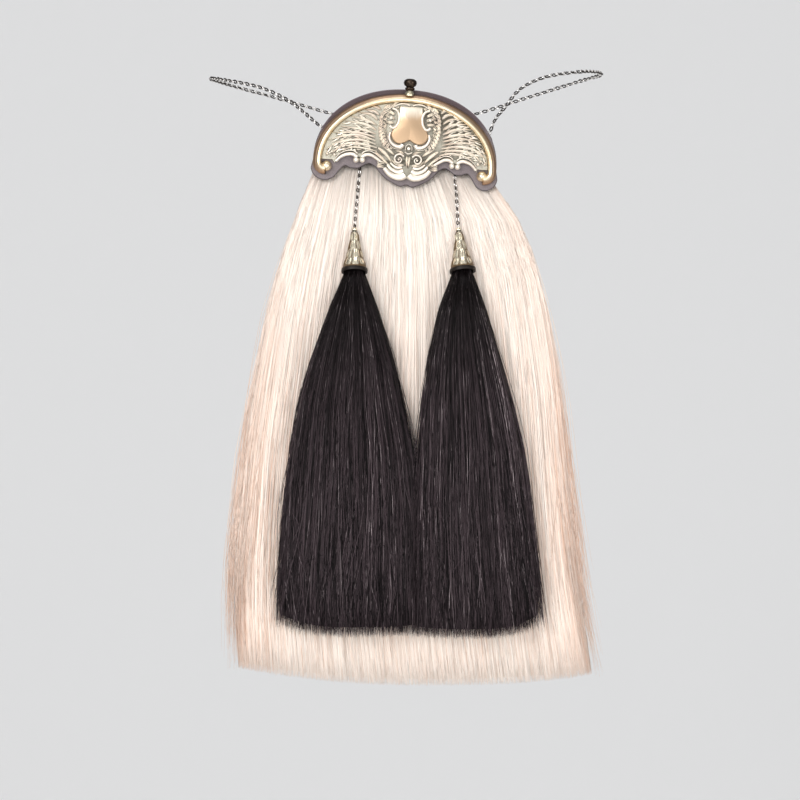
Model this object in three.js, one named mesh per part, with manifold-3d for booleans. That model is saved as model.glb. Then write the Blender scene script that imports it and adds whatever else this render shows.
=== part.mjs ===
// Dress sporran: a leather pouch with a cast metal cantle, a long horsehair front,
// two tassels on fine chains and the chain that carries it round the waist.
// Millimetres, +Z up, the front faces -Y. The origin is on the flat back of the pouch,
// level with the rings that the waist chain hangs from.
// Depths are measured forwards from the flat back, so a depth d is the plane y = -d.

import * as THREE from 'three';
import { mergeVertices } from 'three/addons/utils/BufferGeometryUtils.js';
import Module from 'manifold-3d';

const wasm = await Module();
wasm.setup();

// ---------------------------------------------------------------- driving dimensions

const GAP = 0.3; // clearance between neighbouring pieces
const LEATHER = 2.2; // thickness of the pouch's leather

const LEAN = THREE.MathUtils.degToRad(4); // the pouch hangs a little askew on its chain
const LEAN_PIVOT = { x: 1.3, z: -9.5 };

const CANTLE_TOP = 28; // height of the rim's crown
const CANTLE_HALF = 75; // half the width over the rim
const CANTLE_RISE = 58; // height of the rim's half ellipse
const RIM_WIDTH = 7;
const PATTERN_SHIFT = 2.4; // the pattern's middle line lies this far to the right of the arch's

const DEPTH = {
  pouchTop: 21.3, // front of the pouch behind the cantle
  backing: 21.6,
  backingThick: 2.5,
  plate: 24.4,
  plateThick: 3.6,
  rim: 24.4,
  shield: 28.3,
  shieldThick: 2.4,
};

const VOLUTE = { arcX: 65.2, arcDown: 60, arcRadius: 6.3, turn: 100, ballX: 63.6, ballDown: 63, ball: 4.4 };

// Section of the rim: out is measured outwards from the middle of its width, proud from its back.
const RIM_SECTION = [
  { out: 3.5, proud: 0 },
  { out: 3.5, proud: 2.2 },
  { out: 2.2, proud: 4.6 },
  { out: 0.6, proud: 6.2 },
  { out: -1.2, proud: 6.6 },
  { out: -2.7, proud: 5.6 },
  { out: -3.4, proud: 3.6 },
  { out: -3.5, proud: 0 },
];

// Right half of each lower edge, from the middle outwards. down is below the rim's crown.
const PLATE_EDGE = [
  { x: 0, down: 69.2 },
  { x: 3.5, down: 70.8 },
  { x: 8, down: 70.8 },
  { x: 12.5, down: 67.8 },
  { x: 16.5, down: 63.2 },
  { x: 21.5, down: 60.3 },
  { x: 24, down: 55 },
  { x: 31, down: 51.2 },
  { x: 36, down: 54 },
  { x: 39.5, down: 58 },
  { x: 43, down: 54 },
  { x: 48, down: 51.2 },
  { x: 53.5, down: 54.5 },
  { x: 58, down: 60.2 },
];
const PLATE_CORNER = [
  { x: 59.4, down: 57.4 },
  { x: 63.6, down: 57.6 },
];
const BACKING_EDGE = [
  { x: 0, down: 74 },
  { x: 4.5, down: 75.6 },
  { x: 10.5, down: 73.5 },
  { x: 17.5, down: 69.7 },
  { x: 22, down: 65.5 },
  { x: 26.5, down: 60.5 },
  { x: 31, down: 58.5 },
  { x: 35.5, down: 60.5 },
  { x: 39.5, down: 63 },
  { x: 45.5, down: 62.9 },
  { x: 50, down: 61.6 },
  { x: 54, down: 65.5 },
  { x: 59, down: 72 },
  { x: 66, down: 74.4 },
  { x: 73, down: 71.5 },
  { x: 76.4, down: 65 },
  { x: 76.4, down: 58 },
];
// The backing's arch stands proud of the rim, most at the crown.
const BACKING_CROWN = 4.6;

// Right half of the shield's outline, from the top middle to the bottom notch.
const SHIELD_EDGE = [
  { x: 0, down: 10.6 },
  { x: 9.1, down: 10.8 },
  { x: 9.6, down: 16 },
  { x: 10.5, down: 21 },
  { x: 12.4, down: 27 },
  { x: 15.1, down: 34 },
  { x: 12.5, down: 39.6 },
  { x: 8, down: 41.2 },
  { x: 3.5, down: 40 },
  { x: 0, down: 37.9 },
];

// Turned knob, from its foot upwards. z is above the rim's crown.
const STUD_PROFILE = [
  { r: 3.75, z: -2 },
  { r: 3.75, z: 0.2 },
  { r: 2.9, z: 1.2 },
  { r: 2.6, z: 2.6 },
  { r: 4, z: 3.6 },
  { r: 4, z: 4.6 },
  { r: 3, z: 5.4 },
  { r: 4.8, z: 6.8 },
  { r: 5.5, z: 8.8 },
  { r: 4.9, z: 10.8 },
  { r: 3.1, z: 12 },
];
const STUD_DEPTH = 28.2;

// Pouch sections below its arch: half width, depth, and how square the section's corners are.
const POUCH_ARCH = { half: 62, rise: 56, centre: -30, mouth: 2, square: 12 };
const POUCH_ROWS = [
  { z: -14, half: 59.5, depth: 21.3, square: 12 },
  { z: -24, half: 61.7, depth: 13, square: 8 },
  { z: -48, half: 64, depth: 13, square: 5 },
  { z: -70, half: 67, depth: 16, square: 4 },
  { z: -100, half: 69, depth: 17.5, square: 4 },
  { z: -130, half: 67, depth: 17.5, square: 4 },
  { z: -150, half: 61, depth: 15.5, square: 4 },
  { z: -161, half: 51, depth: 11.5, square: 3.5 },
  { z: -165, half: 38, depth: 8, square: 3 },
];

// Outer form of the cream hair: reach to each side, back and front depth, how much the section
// follows the lean of the pouch, and how much higher its ends are than its middle.
const HAIR_ROWS = [
  { z: -25.5, left: 68, right: 68, back: 13.8, front: 16.5, lean: 1, rise: 0 },
  { z: -31, left: 71, right: 71, back: 13.6, front: 18, lean: 1, rise: 0 },
  { z: -44, left: 77, right: 77, back: 13.6, front: 18.2, lean: 1, rise: 0 },
  { z: -58, left: 85, right: 87, back: 15.5, front: 21.5, lean: 0.8, rise: 0 },
  { z: -78, left: 92.5, right: 95, back: 17, front: 24, lean: 0.4, rise: 0 },
  { z: -99, left: 100, right: 103, back: 18, front: 25.4, lean: 0, rise: 0 },
  { z: -140, left: 111, right: 113, back: 18, front: 26.8, lean: 0, rise: 0 },
  { z: -181, left: 118, right: 120, back: 17.6, front: 27, lean: 0, rise: 0 },
  { z: -221, left: 125, right: 125.5, back: 16.5, front: 27, lean: 0, rise: 0 },
  { z: -262, left: 131, right: 129, back: 15.5, front: 27, lean: 0, rise: 0 },
  { z: -303, left: 135, right: 133, back: 14.5, front: 27, lean: 0, rise: 0 },
  { z: -344, left: 139, right: 137, back: 13.5, front: 27, lean: 0, rise: 0 },
  { z: -384, left: 140, right: 142, back: 13, front: 27, lean: 0, rise: 0 },
  { z: -425, left: 139, right: 148, back: 12.5, front: 27, lean: 0, rise: 6 },
  { z: -444, left: 136, right: 149, back: 13, front: 26.5, lean: 0, rise: 10 },
  { z: -453, left: 130, right: 143, back: 15, front: 25, lean: 0, rise: 14 },
];
const HAIR_SQUARE = 3;

// Each tassel: where its chain leaves the backing, the cone's tip and base, and the hair's rows.
const TASSELS = {
  left: {
    top: { x: -37.8, z: -27.5 },
    cone: { tipX: -42.3, baseX: -42.1 },
    rows: [
      { z: -140, from: -60, to: -26, back: 28.4, front: 48.5 },
      { z: -181, from: -75, to: -12, back: 27.6, front: 52 },
      { z: -221, from: -86, to: -4, back: 27.5, front: 53.5 },
      { z: -262, from: -92, to: 3.5, back: 27.5, front: 54 },
      { z: -303, from: -96, to: 6.8, back: 27.5, front: 54 },
      { z: -384, from: -101.5, to: 7.6, back: 27.5, front: 53 },
      { z: -403, from: -101, to: 7.6, back: 27.8, front: 52 },
      { z: -411, from: -92, to: 1, back: 30, front: 49 },
    ],
  },
  right: {
    top: { x: 39.4, z: -32.5 },
    cone: { tipX: 42.2, baseX: 45.9 },
    rows: [
      { z: -140, from: 28.5, to: 61.5, back: 28.4, front: 48.5 },
      { z: -181, from: 19, to: 74, back: 27.6, front: 52 },
      { z: -221, from: 14, to: 84.5, back: 27.5, front: 53.5 },
      { z: -262, from: 11, to: 93, back: 27.5, front: 54 },
      { z: -303, from: 8.6, to: 97.5, back: 27.5, front: 54 },
      { z: -384, from: 8, to: 106.5, back: 27.5, front: 53 },
      { z: -403, from: 8, to: 108, back: 27.8, front: 52 },
      { z: -411, from: 15, to: 100, back: 30, front: 49 },
    ],
  },
};
const CONE_TIP = { z: -81, depth: 28.2 };
const CONE_BASE = { z: -118, depth: 37.2 };
// Cone from its tip down: along is measured from the tip towards the base.
const CONE_OUTSIDE = [
  { r: 0, along: 0 },
  { r: 1.7, along: 0.5 },
  { r: 2.3, along: 2 },
  { r: 2, along: 3.4 },
  { r: 3.1, along: 9 },
  { r: 5.1, along: 18.7 },
  { r: 7.4, along: 28 },
  { r: 9.5, along: 34.8 },
  { r: 10.6, along: 35.8 },
  { r: 10.6, along: 38 },
];
const CONE_INSIDE = [
  { r: 8.9, along: 38 },
  { r: 7.4, along: 30 },
  { r: 0, along: 30 },
];
const TASSEL_CHAIN_RADIUS = 1.5;

const RING = { z: -8, major: 5, wire: 1.1, post: 1.8, flange: 4, flangeThick: 1.2, depth: 10.5 };

// Waist loop: half axes of the ellipse that it follows from above, and the height of its clasp at the back.
const WAIST = { halfX: 170, halfY: 128, centreY: 130, height: 34 };
const BELT_RADIUS = 1.6;
// Free ends of the waist chain between the rings and the ellipse.
const BELT_LEADS = {
  left: [
    { x: -70.6, y: -10.5, z: 4.4 },
    { x: -75.5, y: -5, z: 7.6 },
    { x: -83.5, y: 5, z: 15.4 },
    { x: -97, y: 20.5, z: 27 },
  ],
  right: [
    { x: 68.6, y: -10.5, z: -1.4 },
    { x: 73, y: -6, z: 9 },
    { x: 82, y: 5, z: 21 },
    { x: 94, y: 19, z: 36.4 },
  ],
};
// Stations of the chain on the ellipse: turn in degrees from the front, and height.
const BELT_STATIONS = {
  left: [
    { turn: 45, z: 40 },
    { turn: 65, z: 51 },
    { turn: 90, z: 58 },
    { turn: 115, z: 58 },
    { turn: 140, z: 50 },
    { turn: 160, z: 38 },
    { turn: 175.4, z: 34 },
  ],
  right: [
    { turn: 42, z: 48 },
    { turn: 62, z: 57.5 },
    { turn: 90, z: 62 },
    { turn: 115, z: 62 },
    { turn: 140, z: 52 },
    { turn: 160, z: 38.5 },
    { turn: 175.4, z: 34 },
  ],
};
const CLASP = { width: 22, depth: 4, height: 9 };

const RING_POINTS = 28; // points round a soft section
const CURVE_STEPS = 2; // points on each stretch of a drawn outline
const ARCH_STEPS = 36; // stretches round the arch of the cantle
const TUBE_SIDES = 8;

// ---------------------------------------------------------------- materials

const finish = (color, roughness, metalness) =>
  new THREE.MeshStandardMaterial({ color, roughness, metalness });

const MATERIAL = {
  leather: finish(0x3a3136, 0.65, 0),
  relief: finish(0xd9cdb8, 0.4, 0.9),
  brass: finish(0xc9a376, 0.3, 0.95),
  satinBrass: finish(0xe0bd93, 0.28, 0.95),
  darkMetal: finish(0x2d2622, 0.4, 0.9),
  creamHair: finish(0xf3e5d3, 0.6, 0),
  blackHair: finish(0x1e191b, 0.45, 0),
  silver: finish(0xb9b6b4, 0.3, 0.95),
};

// ---------------------------------------------------------------- making solids

const heightOf = (down) => CANTLE_TOP - down;

/** Polygon along a shape's outline, without points that repeat. */
function polygon(shape) {
  const points = shape.getPoints(CURVE_STEPS);
  const kept = points.filter((p, i) => p.distanceTo(points.at(i - 1)) > 0.05);
  return new THREE.Shape(kept);
}

/** Turns a shape drawn in x and z, pushed out along its third axis, into a slab facing -Y. */
function slab(shape, depth, thick, bevel = 0) {
  const geometry = new THREE.ExtrudeGeometry(polygon(shape), {
    depth: thick - 2 * bevel,
    bevelEnabled: bevel > 0,
    bevelThickness: bevel,
    bevelSize: bevel,
    bevelOffset: -bevel,
    bevelSegments: 1,
  });
  geometry.rotateX(Math.PI / 2);
  geometry.translate(0, -depth - bevel, 0);
  return geometry;
}

/** Six times the volume inside a mesh, negative when its faces point inwards. */
function signedVolume(positions, index) {
  const [a, b, c] = [new THREE.Vector3(), new THREE.Vector3(), new THREE.Vector3()];
  let sum = 0;
  for (let i = 0; i < index.length; i += 3) {
    a.fromArray(positions, 3 * index[i]);
    b.fromArray(positions, 3 * index[i + 1]);
    c.fromArray(positions, 3 * index[i + 2]);
    sum += a.dot(b.cross(c));
  }
  return sum;
}

/** Closed skin through a list of rings with equal counts of points, with a fan on each end. */
function skin(rings) {
  const count = rings[0].length;
  const positions = rings.flat().flatMap((p) => p.toArray());
  const index = [];
  for (let row = 0; row + 1 < rings.length; row += 1) {
    for (let i = 0; i < count; i += 1) {
      const next = (i + 1) % count;
      const a = row * count + i;
      const b = row * count + next;
      index.push(a, b, b + count, a, b + count, a + count);
    }
  }
  for (const row of [0, rings.length - 1]) {
    const middle = new THREE.Vector3();
    rings[row].forEach((p) => middle.addScaledVector(p, 1 / count));
    const hub = positions.length / 3;
    positions.push(...middle.toArray());
    for (let i = 0; i < count; i += 1) {
      const a = row * count + i;
      const b = row * count + ((i + 1) % count);
      index.push(...(row === 0 ? [hub, b, a] : [hub, a, b]));
    }
  }
  if (signedVolume(positions, index) < 0) {
    index.reverse();
  }
  const geometry = new THREE.BufferGeometry();
  geometry.setAttribute('position', new THREE.Float32BufferAttribute(positions, 3));
  geometry.setIndex(index);
  return geometry;
}

/** Signed power, for rounded rectangles. */
const bulge = (value, power) => Math.sign(value) * Math.abs(value) ** power;

/** Flat, round-cornered ring between two x and two depths; place moves each of its points. */
function ovalRing(from, to, back, front, square, place) {
  const ring = [];
  for (let i = 0; i < RING_POINTS; i += 1) {
    const angle = (2 * Math.PI * i) / RING_POINTS;
    const x = (from + to) / 2 + ((to - from) / 2) * bulge(Math.cos(angle), 2 / square);
    const depth = (back + front) / 2 + ((front - back) / 2) * bulge(Math.sin(angle), 2 / square);
    ring.push(place(x, depth));
  }
  return ring;
}

/** Ring with a straight back and a round-cornered front. */
function bagRing(half, back, front, square, z) {
  const ring = [];
  const steps = RING_POINTS - 4;
  for (let i = 0; i <= steps; i += 1) {
    const angle = (Math.PI * i) / steps;
    const x = half * bulge(Math.cos(angle), 2 / square);
    const depth = back + (front - back) * Math.abs(Math.sin(angle)) ** (2 / square);
    ring.push(new THREE.Vector3(x, -depth, z));
  }
  return ring;
}

/** Sweep of a section along a flat path in x and z. The path turns anticlockwise over the crown. */
function sweep(path, section, back, steps) {
  const points = path.getSpacedPoints(steps);
  return skin(
    points.map((point, i) => {
      const before = points[Math.max(i - 1, 0)];
      const after = points[Math.min(i + 1, points.length - 1)];
      const out = new THREE.Vector2(after.y - before.y, before.x - after.x).normalize();
      return section.map(
        (row) => new THREE.Vector3(point.x + out.x * row.out, -back - row.proud, point.y + out.y * row.out),
      );
    }),
  );
}

/** Round tube along a route of points. */
function tube(route, radius, steps) {
  const section = new THREE.Shape();
  for (let i = 0; i < TUBE_SIDES; i += 1) {
    const angle = (2 * Math.PI * i) / TUBE_SIDES;
    const [x, y] = [radius * Math.cos(angle), radius * Math.sin(angle)];
    if (i === 0) section.moveTo(x, y);
    else section.lineTo(x, y);
  }
  const points = route.map((p) => new THREE.Vector3(p.x, p.y, p.z));
  const curve = new THREE.CatmullRomCurve3(points, false, 'centripetal');
  return new THREE.ExtrudeGeometry(section, { steps, extrudePath: curve, bevelEnabled: false });
}

/** Turned solid about the z axis from rows of r and z that start and end on the axis. */
function turned(rows, segments) {
  const geometry = new THREE.LatheGeometry(rows.map((row) => new THREE.Vector2(row.r, row.z)), segments);
  return geometry.rotateX(Math.PI / 2);
}

/** Merged copy of a geometry with only its positions, its faces turned outwards. */
function cleaned(geometry) {
  const bare = geometry.clone();
  bare.deleteAttribute('normal');
  bare.deleteAttribute('uv');
  const merged = mergeVertices(bare, 1e-4);
  const source = merged.index.array;
  const index = [];
  for (let i = 0; i < source.length; i += 3) {
    const [a, b, c] = [source[i], source[i + 1], source[i + 2]];
    if (a !== b && b !== c && a !== c) index.push(a, b, c);
  }
  if (signedVolume(merged.attributes.position.array, index) < 0) index.reverse();
  merged.setIndex(index);
  return merged;
}

function solidOf(geometry) {
  const merged = cleaned(geometry);
  const mesh = new wasm.Mesh({
    numProp: 3,
    vertProperties: new Float32Array(merged.attributes.position.array),
    triVerts: new Uint32Array(merged.index.array),
  });
  mesh.merge();
  return new wasm.Manifold(mesh);
}

function geometryOf(solid) {
  const mesh = solid.getMesh();
  const geometry = new THREE.BufferGeometry();
  geometry.setAttribute('position', new THREE.Float32BufferAttribute(mesh.vertProperties, 3));
  geometry.setIndex(Array.from(mesh.triVerts));
  return geometry;
}

function node(name, geometry, material) {
  const mesh = new THREE.Mesh(geometry, material);
  mesh.name = name;
  return mesh;
}

// ---------------------------------------------------------------- cantle

/** Place of a point of a lower edge on one side: the pattern's shift fades out towards the arch's ends. */
function edgePoint(p, side) {
  const fade = 1 - (p.x / CANTLE_HALF) ** 2;
  return new THREE.Vector2(side * p.x + PATTERN_SHIFT * Math.max(fade, 0), heightOf(p.down));
}

/** Outline through a right half drawn from the bottom middle outwards, with an elliptical arch on top. */
function archedOutline(edge, corner, halfX, halfZ, centreZ) {
  const right = edge.map((p) => edgePoint(p, 1));
  const left = edge.slice(1).map((p) => edgePoint(p, -1)).reverse();
  const shape = new THREE.Shape();
  shape.moveTo(left[0].x, left[0].y);
  shape.splineThru([...left.slice(1), ...right]);
  corner.forEach((p) => shape.lineTo(p.x, heightOf(p.down)));
  for (let step = 0; step <= ARCH_STEPS; step += 1) {
    const angle = (Math.PI * step) / ARCH_STEPS;
    shape.lineTo(halfX * Math.cos(angle), centreZ + halfZ * Math.sin(angle));
  }
  [...corner].reverse().forEach((p) => shape.lineTo(-p.x, heightOf(p.down)));
  shape.closePath();
  return shape;
}

function backing() {
  const halfX = BACKING_EDGE.at(-1).x;
  const centreZ = heightOf(CANTLE_RISE);
  const outline = archedOutline(BACKING_EDGE, [], halfX, CANTLE_RISE + BACKING_CROWN, centreZ);
  return node('cantle_backing', cleaned(slab(outline, DEPTH.backing, DEPTH.backingThick)), MATERIAL.leather);
}

function plate() {
  const inset = RIM_WIDTH + GAP;
  const centreZ = heightOf(CANTLE_RISE) + 0.5;
  const halfX = CANTLE_HALF - inset;
  const halfZ = CANTLE_RISE - inset - 0.5;
  const outline = archedOutline(PLATE_EDGE, PLATE_CORNER, halfX, halfZ, centreZ);
  return node('cantle_plate', cleaned(slab(outline, DEPTH.plate, DEPTH.plateThick, 0.5)), MATERIAL.relief);
}

/** Middle line of the rim: a volute arc, over the half ellipse, and the other volute arc. */
function rimPath() {
  const turn = THREE.MathUtils.degToRad(VOLUTE.turn);
  const middle = RIM_WIDTH / 2;
  const springZ = heightOf(CANTLE_RISE);
  const arcZ = heightOf(VOLUTE.arcDown);
  const path = new THREE.Path();
  path.absarc(VOLUTE.arcX, arcZ, VOLUTE.arcRadius, -turn, 0, false);
  path.lineTo(CANTLE_HALF - middle, springZ);
  path.absellipse(0, springZ, CANTLE_HALF - middle, CANTLE_RISE - middle, 0, Math.PI, false);
  path.lineTo(-VOLUTE.arcX - VOLUTE.arcRadius, arcZ);
  path.absarc(-VOLUTE.arcX, arcZ, VOLUTE.arcRadius, Math.PI, Math.PI + turn, false);
  return path;
}

function rimSolid(extra) {
  const section = RIM_SECTION.map((row) => ({
    out: row.out + Math.sign(row.out) * extra,
    proud: row.proud > 0 ? row.proud + extra : -extra,
  }));
  let solid = solidOf(sweep(rimPath(), section, DEPTH.rim, 72));
  for (const side of [-1, 1]) {
    const ball = new THREE.SphereGeometry(VOLUTE.ball, 14, 10);
    ball.scale(1, 0.72, 1);
    ball.translate(side * VOLUTE.ballX, -DEPTH.rim - 0.72 * VOLUTE.ball - 0.6, heightOf(VOLUTE.ballDown));
    solid = solid.add(solidOf(ball));
  }
  return solid;
}

function rim() {
  return node('cantle_rim', geometryOf(rimSolid(0)), MATERIAL.brass);
}

function shield() {
  const right = SHIELD_EDGE.map((p) => new THREE.Vector2(p.x, heightOf(p.down)));
  const left = right.slice(1, -1).map((p) => new THREE.Vector2(-p.x, p.y)).reverse();
  const outline = new THREE.Shape();
  outline.moveTo(-right[1].x, right[1].y);
  outline.lineTo(right[1].x, right[1].y);
  outline.splineThru(right.slice(2));
  outline.splineThru(left);
  outline.closePath();
  const geometry = cleaned(slab(outline, DEPTH.shield, DEPTH.shieldThick, 0.7));
  return node('shield', geometry.translate(PATTERN_SHIFT, 0, 0), MATERIAL.satinBrass);
}

/** Knob whose foot is cut to sit over the rim's crown. */
function stud() {
  const rows = STUD_PROFILE.map((row) => ({ r: row.r, z: CANTLE_TOP + row.z }));
  const closed = [{ r: 0, z: rows[0].z }, ...rows, { r: 0, z: rows.at(-1).z + 0.4 }];
  const knob = turned(closed, 20).translate(0, -STUD_DEPTH, 0);
  const foot = new THREE.BoxGeometry(12, 12, 12).translate(0, -DEPTH.backing + 6 - 3, CANTLE_TOP);
  const solid = solidOf(knob).subtract(rimSolid(GAP + 0.05)).subtract(solidOf(foot));
  return node('top_stud', geometryOf(solid), MATERIAL.darkMetal);
}

// ---------------------------------------------------------------- pouch

/** Half width of the pouch's arch at a height. */
function archHalf(z) {
  const up = (z - POUCH_ARCH.centre) / POUCH_ARCH.rise;
  return POUCH_ARCH.half * Math.sqrt(Math.max(1 - up * up, 0));
}

function pouchOutside() {
  const rows = POUCH_ROWS.map((row) => bagRing(row.half, 0, row.depth, row.square, row.z)).reverse();
  for (const z of [-8, 0, 8, 15, 20, 23.5, 25.4]) {
    rows.push(bagRing(archHalf(z), 0, DEPTH.pouchTop, POUCH_ARCH.square, z));
  }
  return solidOf(skin(rows));
}

/** Space inside the leather. Above the mouth's ends it is wider than the pouch, so the sides open. */
function pouchInside() {
  const hollow = (half, depth, square, z) => bagRing(half, LEATHER, depth - LEATHER, square, z);
  const rows = POUCH_ROWS.slice(0, -1)
    .map((row) => hollow(row.half - LEATHER, row.depth, row.square, row.z))
    .reverse();
  for (const z of [-8, POUCH_ARCH.mouth]) {
    rows.push(hollow(archHalf(z) - LEATHER, DEPTH.pouchTop, POUCH_ARCH.square, z));
  }
  for (const z of [POUCH_ARCH.mouth + 1, CANTLE_TOP + 10]) {
    rows.push(hollow(POUCH_ARCH.half + 10, DEPTH.pouchTop, POUCH_ARCH.square, z));
  }
  return solidOf(skin(rows));
}

function pouch() {
  return node('pouch', geometryOf(pouchOutside().subtract(pouchInside())), MATERIAL.leather);
}

/** Ring on a post, standing square to the pouch's side. side is -1 on the left, 1 on the right. */
function beltRing(name, side) {
  const foot = new THREE.Vector2(archHalf(RING.z), RING.z);
  const slope = new THREE.Vector2(
    foot.x / POUCH_ARCH.half ** 2,
    (foot.y - POUCH_ARCH.centre) / POUCH_ARCH.rise ** 2,
  ).normalize();
  const flange = new THREE.CylinderGeometry(RING.flange, RING.flange, RING.flangeThick, 16);
  flange.translate(0, GAP + 0.15 + RING.flangeThick / 2, 0);
  const postLength = RING.post + RING.flangeThick;
  const post = new THREE.CylinderGeometry(RING.wire, RING.wire, postLength, 12);
  post.translate(0, GAP + 0.15 + postLength / 2, 0);
  const loop = new THREE.TorusGeometry(RING.major, RING.wire, 8, 20);
  loop.translate(0, GAP + RING.flangeThick + RING.post + RING.major, 0);
  const geometry = geometryOf(solidOf(flange).add(solidOf(post)).add(solidOf(loop)));
  geometry.rotateX(Math.PI / 2);
  geometry.rotateY(-side * Math.atan2(-slope.x, slope.y));
  geometry.translate(side * foot.x, -RING.depth, foot.y);
  return node(name, geometry, MATERIAL.silver);
}

// ---------------------------------------------------------------- hair

function hairFront() {
  const rings = HAIR_ROWS.map((row) => {
    const reach = (row.left + row.right) / 2;
    const middle = (row.right - row.left) / 2;
    return ovalRing(-row.left, row.right, row.back, row.front, HAIR_SQUARE, (x, depth) => {
      const end = (x - middle) / reach;
      const z = row.z - row.lean * x * Math.tan(LEAN) + row.rise * end * end;
      return new THREE.Vector3(x, -depth, z);
    });
  });
  return node('hair_front', skin(rings), MATERIAL.creamHair);
}

/** Tip of a tassel's cone, and the direction from its tip to its base. */
function coneLine(cone) {
  const tip = new THREE.Vector3(cone.tipX, -CONE_TIP.depth, CONE_TIP.z);
  const base = new THREE.Vector3(cone.baseX, -CONE_BASE.depth, CONE_BASE.z);
  return { tip, axis: base.sub(tip).normalize() };
}

function tasselCone(name, cone) {
  const { tip, axis } = coneLine(cone);
  const rows = [...CONE_OUTSIDE, ...CONE_INSIDE].map((row) => ({ r: row.r, z: -row.along }));
  const geometry = cleaned(turned(rows, 20));
  const down = new THREE.Vector3(0, 0, -1);
  geometry.applyQuaternion(new THREE.Quaternion().setFromUnitVectors(down, axis));
  geometry.translate(tip.x, tip.y, tip.z);
  return node(name, geometry, MATERIAL.brass);
}

function tasselHair(name, tassel) {
  const { tip, axis } = coneLine(tassel.cone);
  const level = (z) => (x, depth) => new THREE.Vector3(x, -depth, z);
  const neck = [
    { along: 31.5, r: 5.6 },
    { along: 38, r: 7.6 },
    { along: 42, r: 9.2 },
  ].map(({ along, r }) => {
    const centre = tip.clone().addScaledVector(axis, along);
    return ovalRing(centre.x - r, centre.x + r, -centre.y - r, -centre.y + r, 2, level(centre.z));
  });
  const fall = tassel.rows.map((row) => ovalRing(row.from, row.to, row.back, row.front, 2.4, level(row.z)));
  return node(name, skin([...neck, ...fall]), MATERIAL.blackHair);
}

/** Chain from behind the backing's edge down over the hair to the tip of the cone. */
function tasselChain(name, tassel) {
  const between = (share) => tassel.top.x + share * (tassel.cone.tipX - tassel.top.x);
  const route = [
    { x: tassel.top.x, y: -19.9, z: tassel.top.z },
    { x: between(0.2), y: -20, z: tassel.top.z - 12 },
    { x: between(0.45), y: -22.8, z: -52 },
    { x: between(0.75), y: -25.9, z: -67 },
    { x: between(1), y: -28, z: CONE_TIP.z + GAP + 0.2 },
  ];
  return node(name, tube(route, TASSEL_CHAIN_RADIUS, 20), MATERIAL.silver);
}

// ---------------------------------------------------------------- waist chain

function beltChain(name, hand, side) {
  const stations = BELT_STATIONS[hand].map((station) => {
    const turn = THREE.MathUtils.degToRad(station.turn);
    const x = side * WAIST.halfX * Math.sin(turn);
    return { x, y: WAIST.centreY - WAIST.halfY * Math.cos(turn), z: station.z };
  });
  return node(name, tube([...BELT_LEADS[hand], ...stations], BELT_RADIUS, 56), MATERIAL.silver);
}

function clasp() {
  const geometry = new THREE.BoxGeometry(CLASP.width, CLASP.depth, CLASP.height);
  geometry.translate(0, WAIST.centreY + WAIST.halfY, WAIST.height);
  return node('belt_clasp', geometry, MATERIAL.silver);
}

// ---------------------------------------------------------------- assembly

/** Everything stiff that hangs askew together, turned about a point near the cantle's middle. */
function leaning() {
  const group = new THREE.Group();
  group.add(pouch(), backing(), plate(), rim(), shield(), stud());
  group.add(beltRing('belt_ring_left', -1), beltRing('belt_ring_right', 1));
  group.children.forEach((mesh) => mesh.position.set(-LEAN_PIVOT.x, 0, -LEAN_PIVOT.z));
  group.rotation.y = LEAN;
  group.position.set(LEAN_PIVOT.x, 0, LEAN_PIVOT.z);
  return group;
}

const sporran = new THREE.Group();
sporran.add(leaning(), hairFront());
for (const [hand, side] of [['left', -1], ['right', 1]]) {
  const tassel = TASSELS[hand];
  sporran.add(tasselChain(`tassel_chain_${hand}`, tassel));
  sporran.add(tasselCone(`tassel_cone_${hand}`, tassel.cone));
  sporran.add(tasselHair(`tassel_hair_${hand}`, tassel));
  sporran.add(beltChain(`belt_chain_${hand}`, hand, side));
}
sporran.add(clasp());

export default sporran;
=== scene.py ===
# Looks of the dress sporran: leather pouch, cast cantle, horsehair front, two tassels and their chains.
# Metres, +Z up, the front faces -Y. Work on the cantle is drawn upright, in millimetres across and down
# from the rim's crown, and is then leaned with the pouch.

import math

import bpy
import numpy as np
from mathutils import Matrix, Vector
from mathutils.bvhtree import BVHTree


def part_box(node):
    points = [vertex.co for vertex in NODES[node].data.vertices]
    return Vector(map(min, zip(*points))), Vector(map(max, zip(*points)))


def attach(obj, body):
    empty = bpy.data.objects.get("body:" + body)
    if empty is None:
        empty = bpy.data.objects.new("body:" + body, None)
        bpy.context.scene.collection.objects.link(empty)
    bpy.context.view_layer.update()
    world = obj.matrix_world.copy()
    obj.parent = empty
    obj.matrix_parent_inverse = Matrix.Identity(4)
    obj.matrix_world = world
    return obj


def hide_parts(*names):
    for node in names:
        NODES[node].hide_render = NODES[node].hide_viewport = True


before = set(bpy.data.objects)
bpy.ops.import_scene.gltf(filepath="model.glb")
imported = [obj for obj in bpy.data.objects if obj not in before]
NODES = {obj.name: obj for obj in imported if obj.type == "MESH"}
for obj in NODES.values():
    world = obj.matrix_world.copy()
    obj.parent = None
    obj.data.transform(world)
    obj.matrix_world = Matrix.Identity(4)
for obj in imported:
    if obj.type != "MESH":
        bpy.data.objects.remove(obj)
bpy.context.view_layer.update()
MM = 0.001

# ---------------------------------------------------------------- driving values

LEAN = math.radians(4)  # the pouch hangs a little askew
LEAN_PIVOT = Vector((1.3, 0, -9.5)) * MM
CROWN = 28  # height of the rim's crown, in millimetres
RISE = 58  # the rim's arch is half an ellipse this tall
HALF = 75  # and this wide to each side
RIM = 7  # width of the rim
VOLUTE_ARC = {"x": 65.2, "down": 60, "radius": 6.3, "turn": 100}
VOLUTE_BALL = {"x": 63.6, "down": 63, "radius": 4.4}

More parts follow.
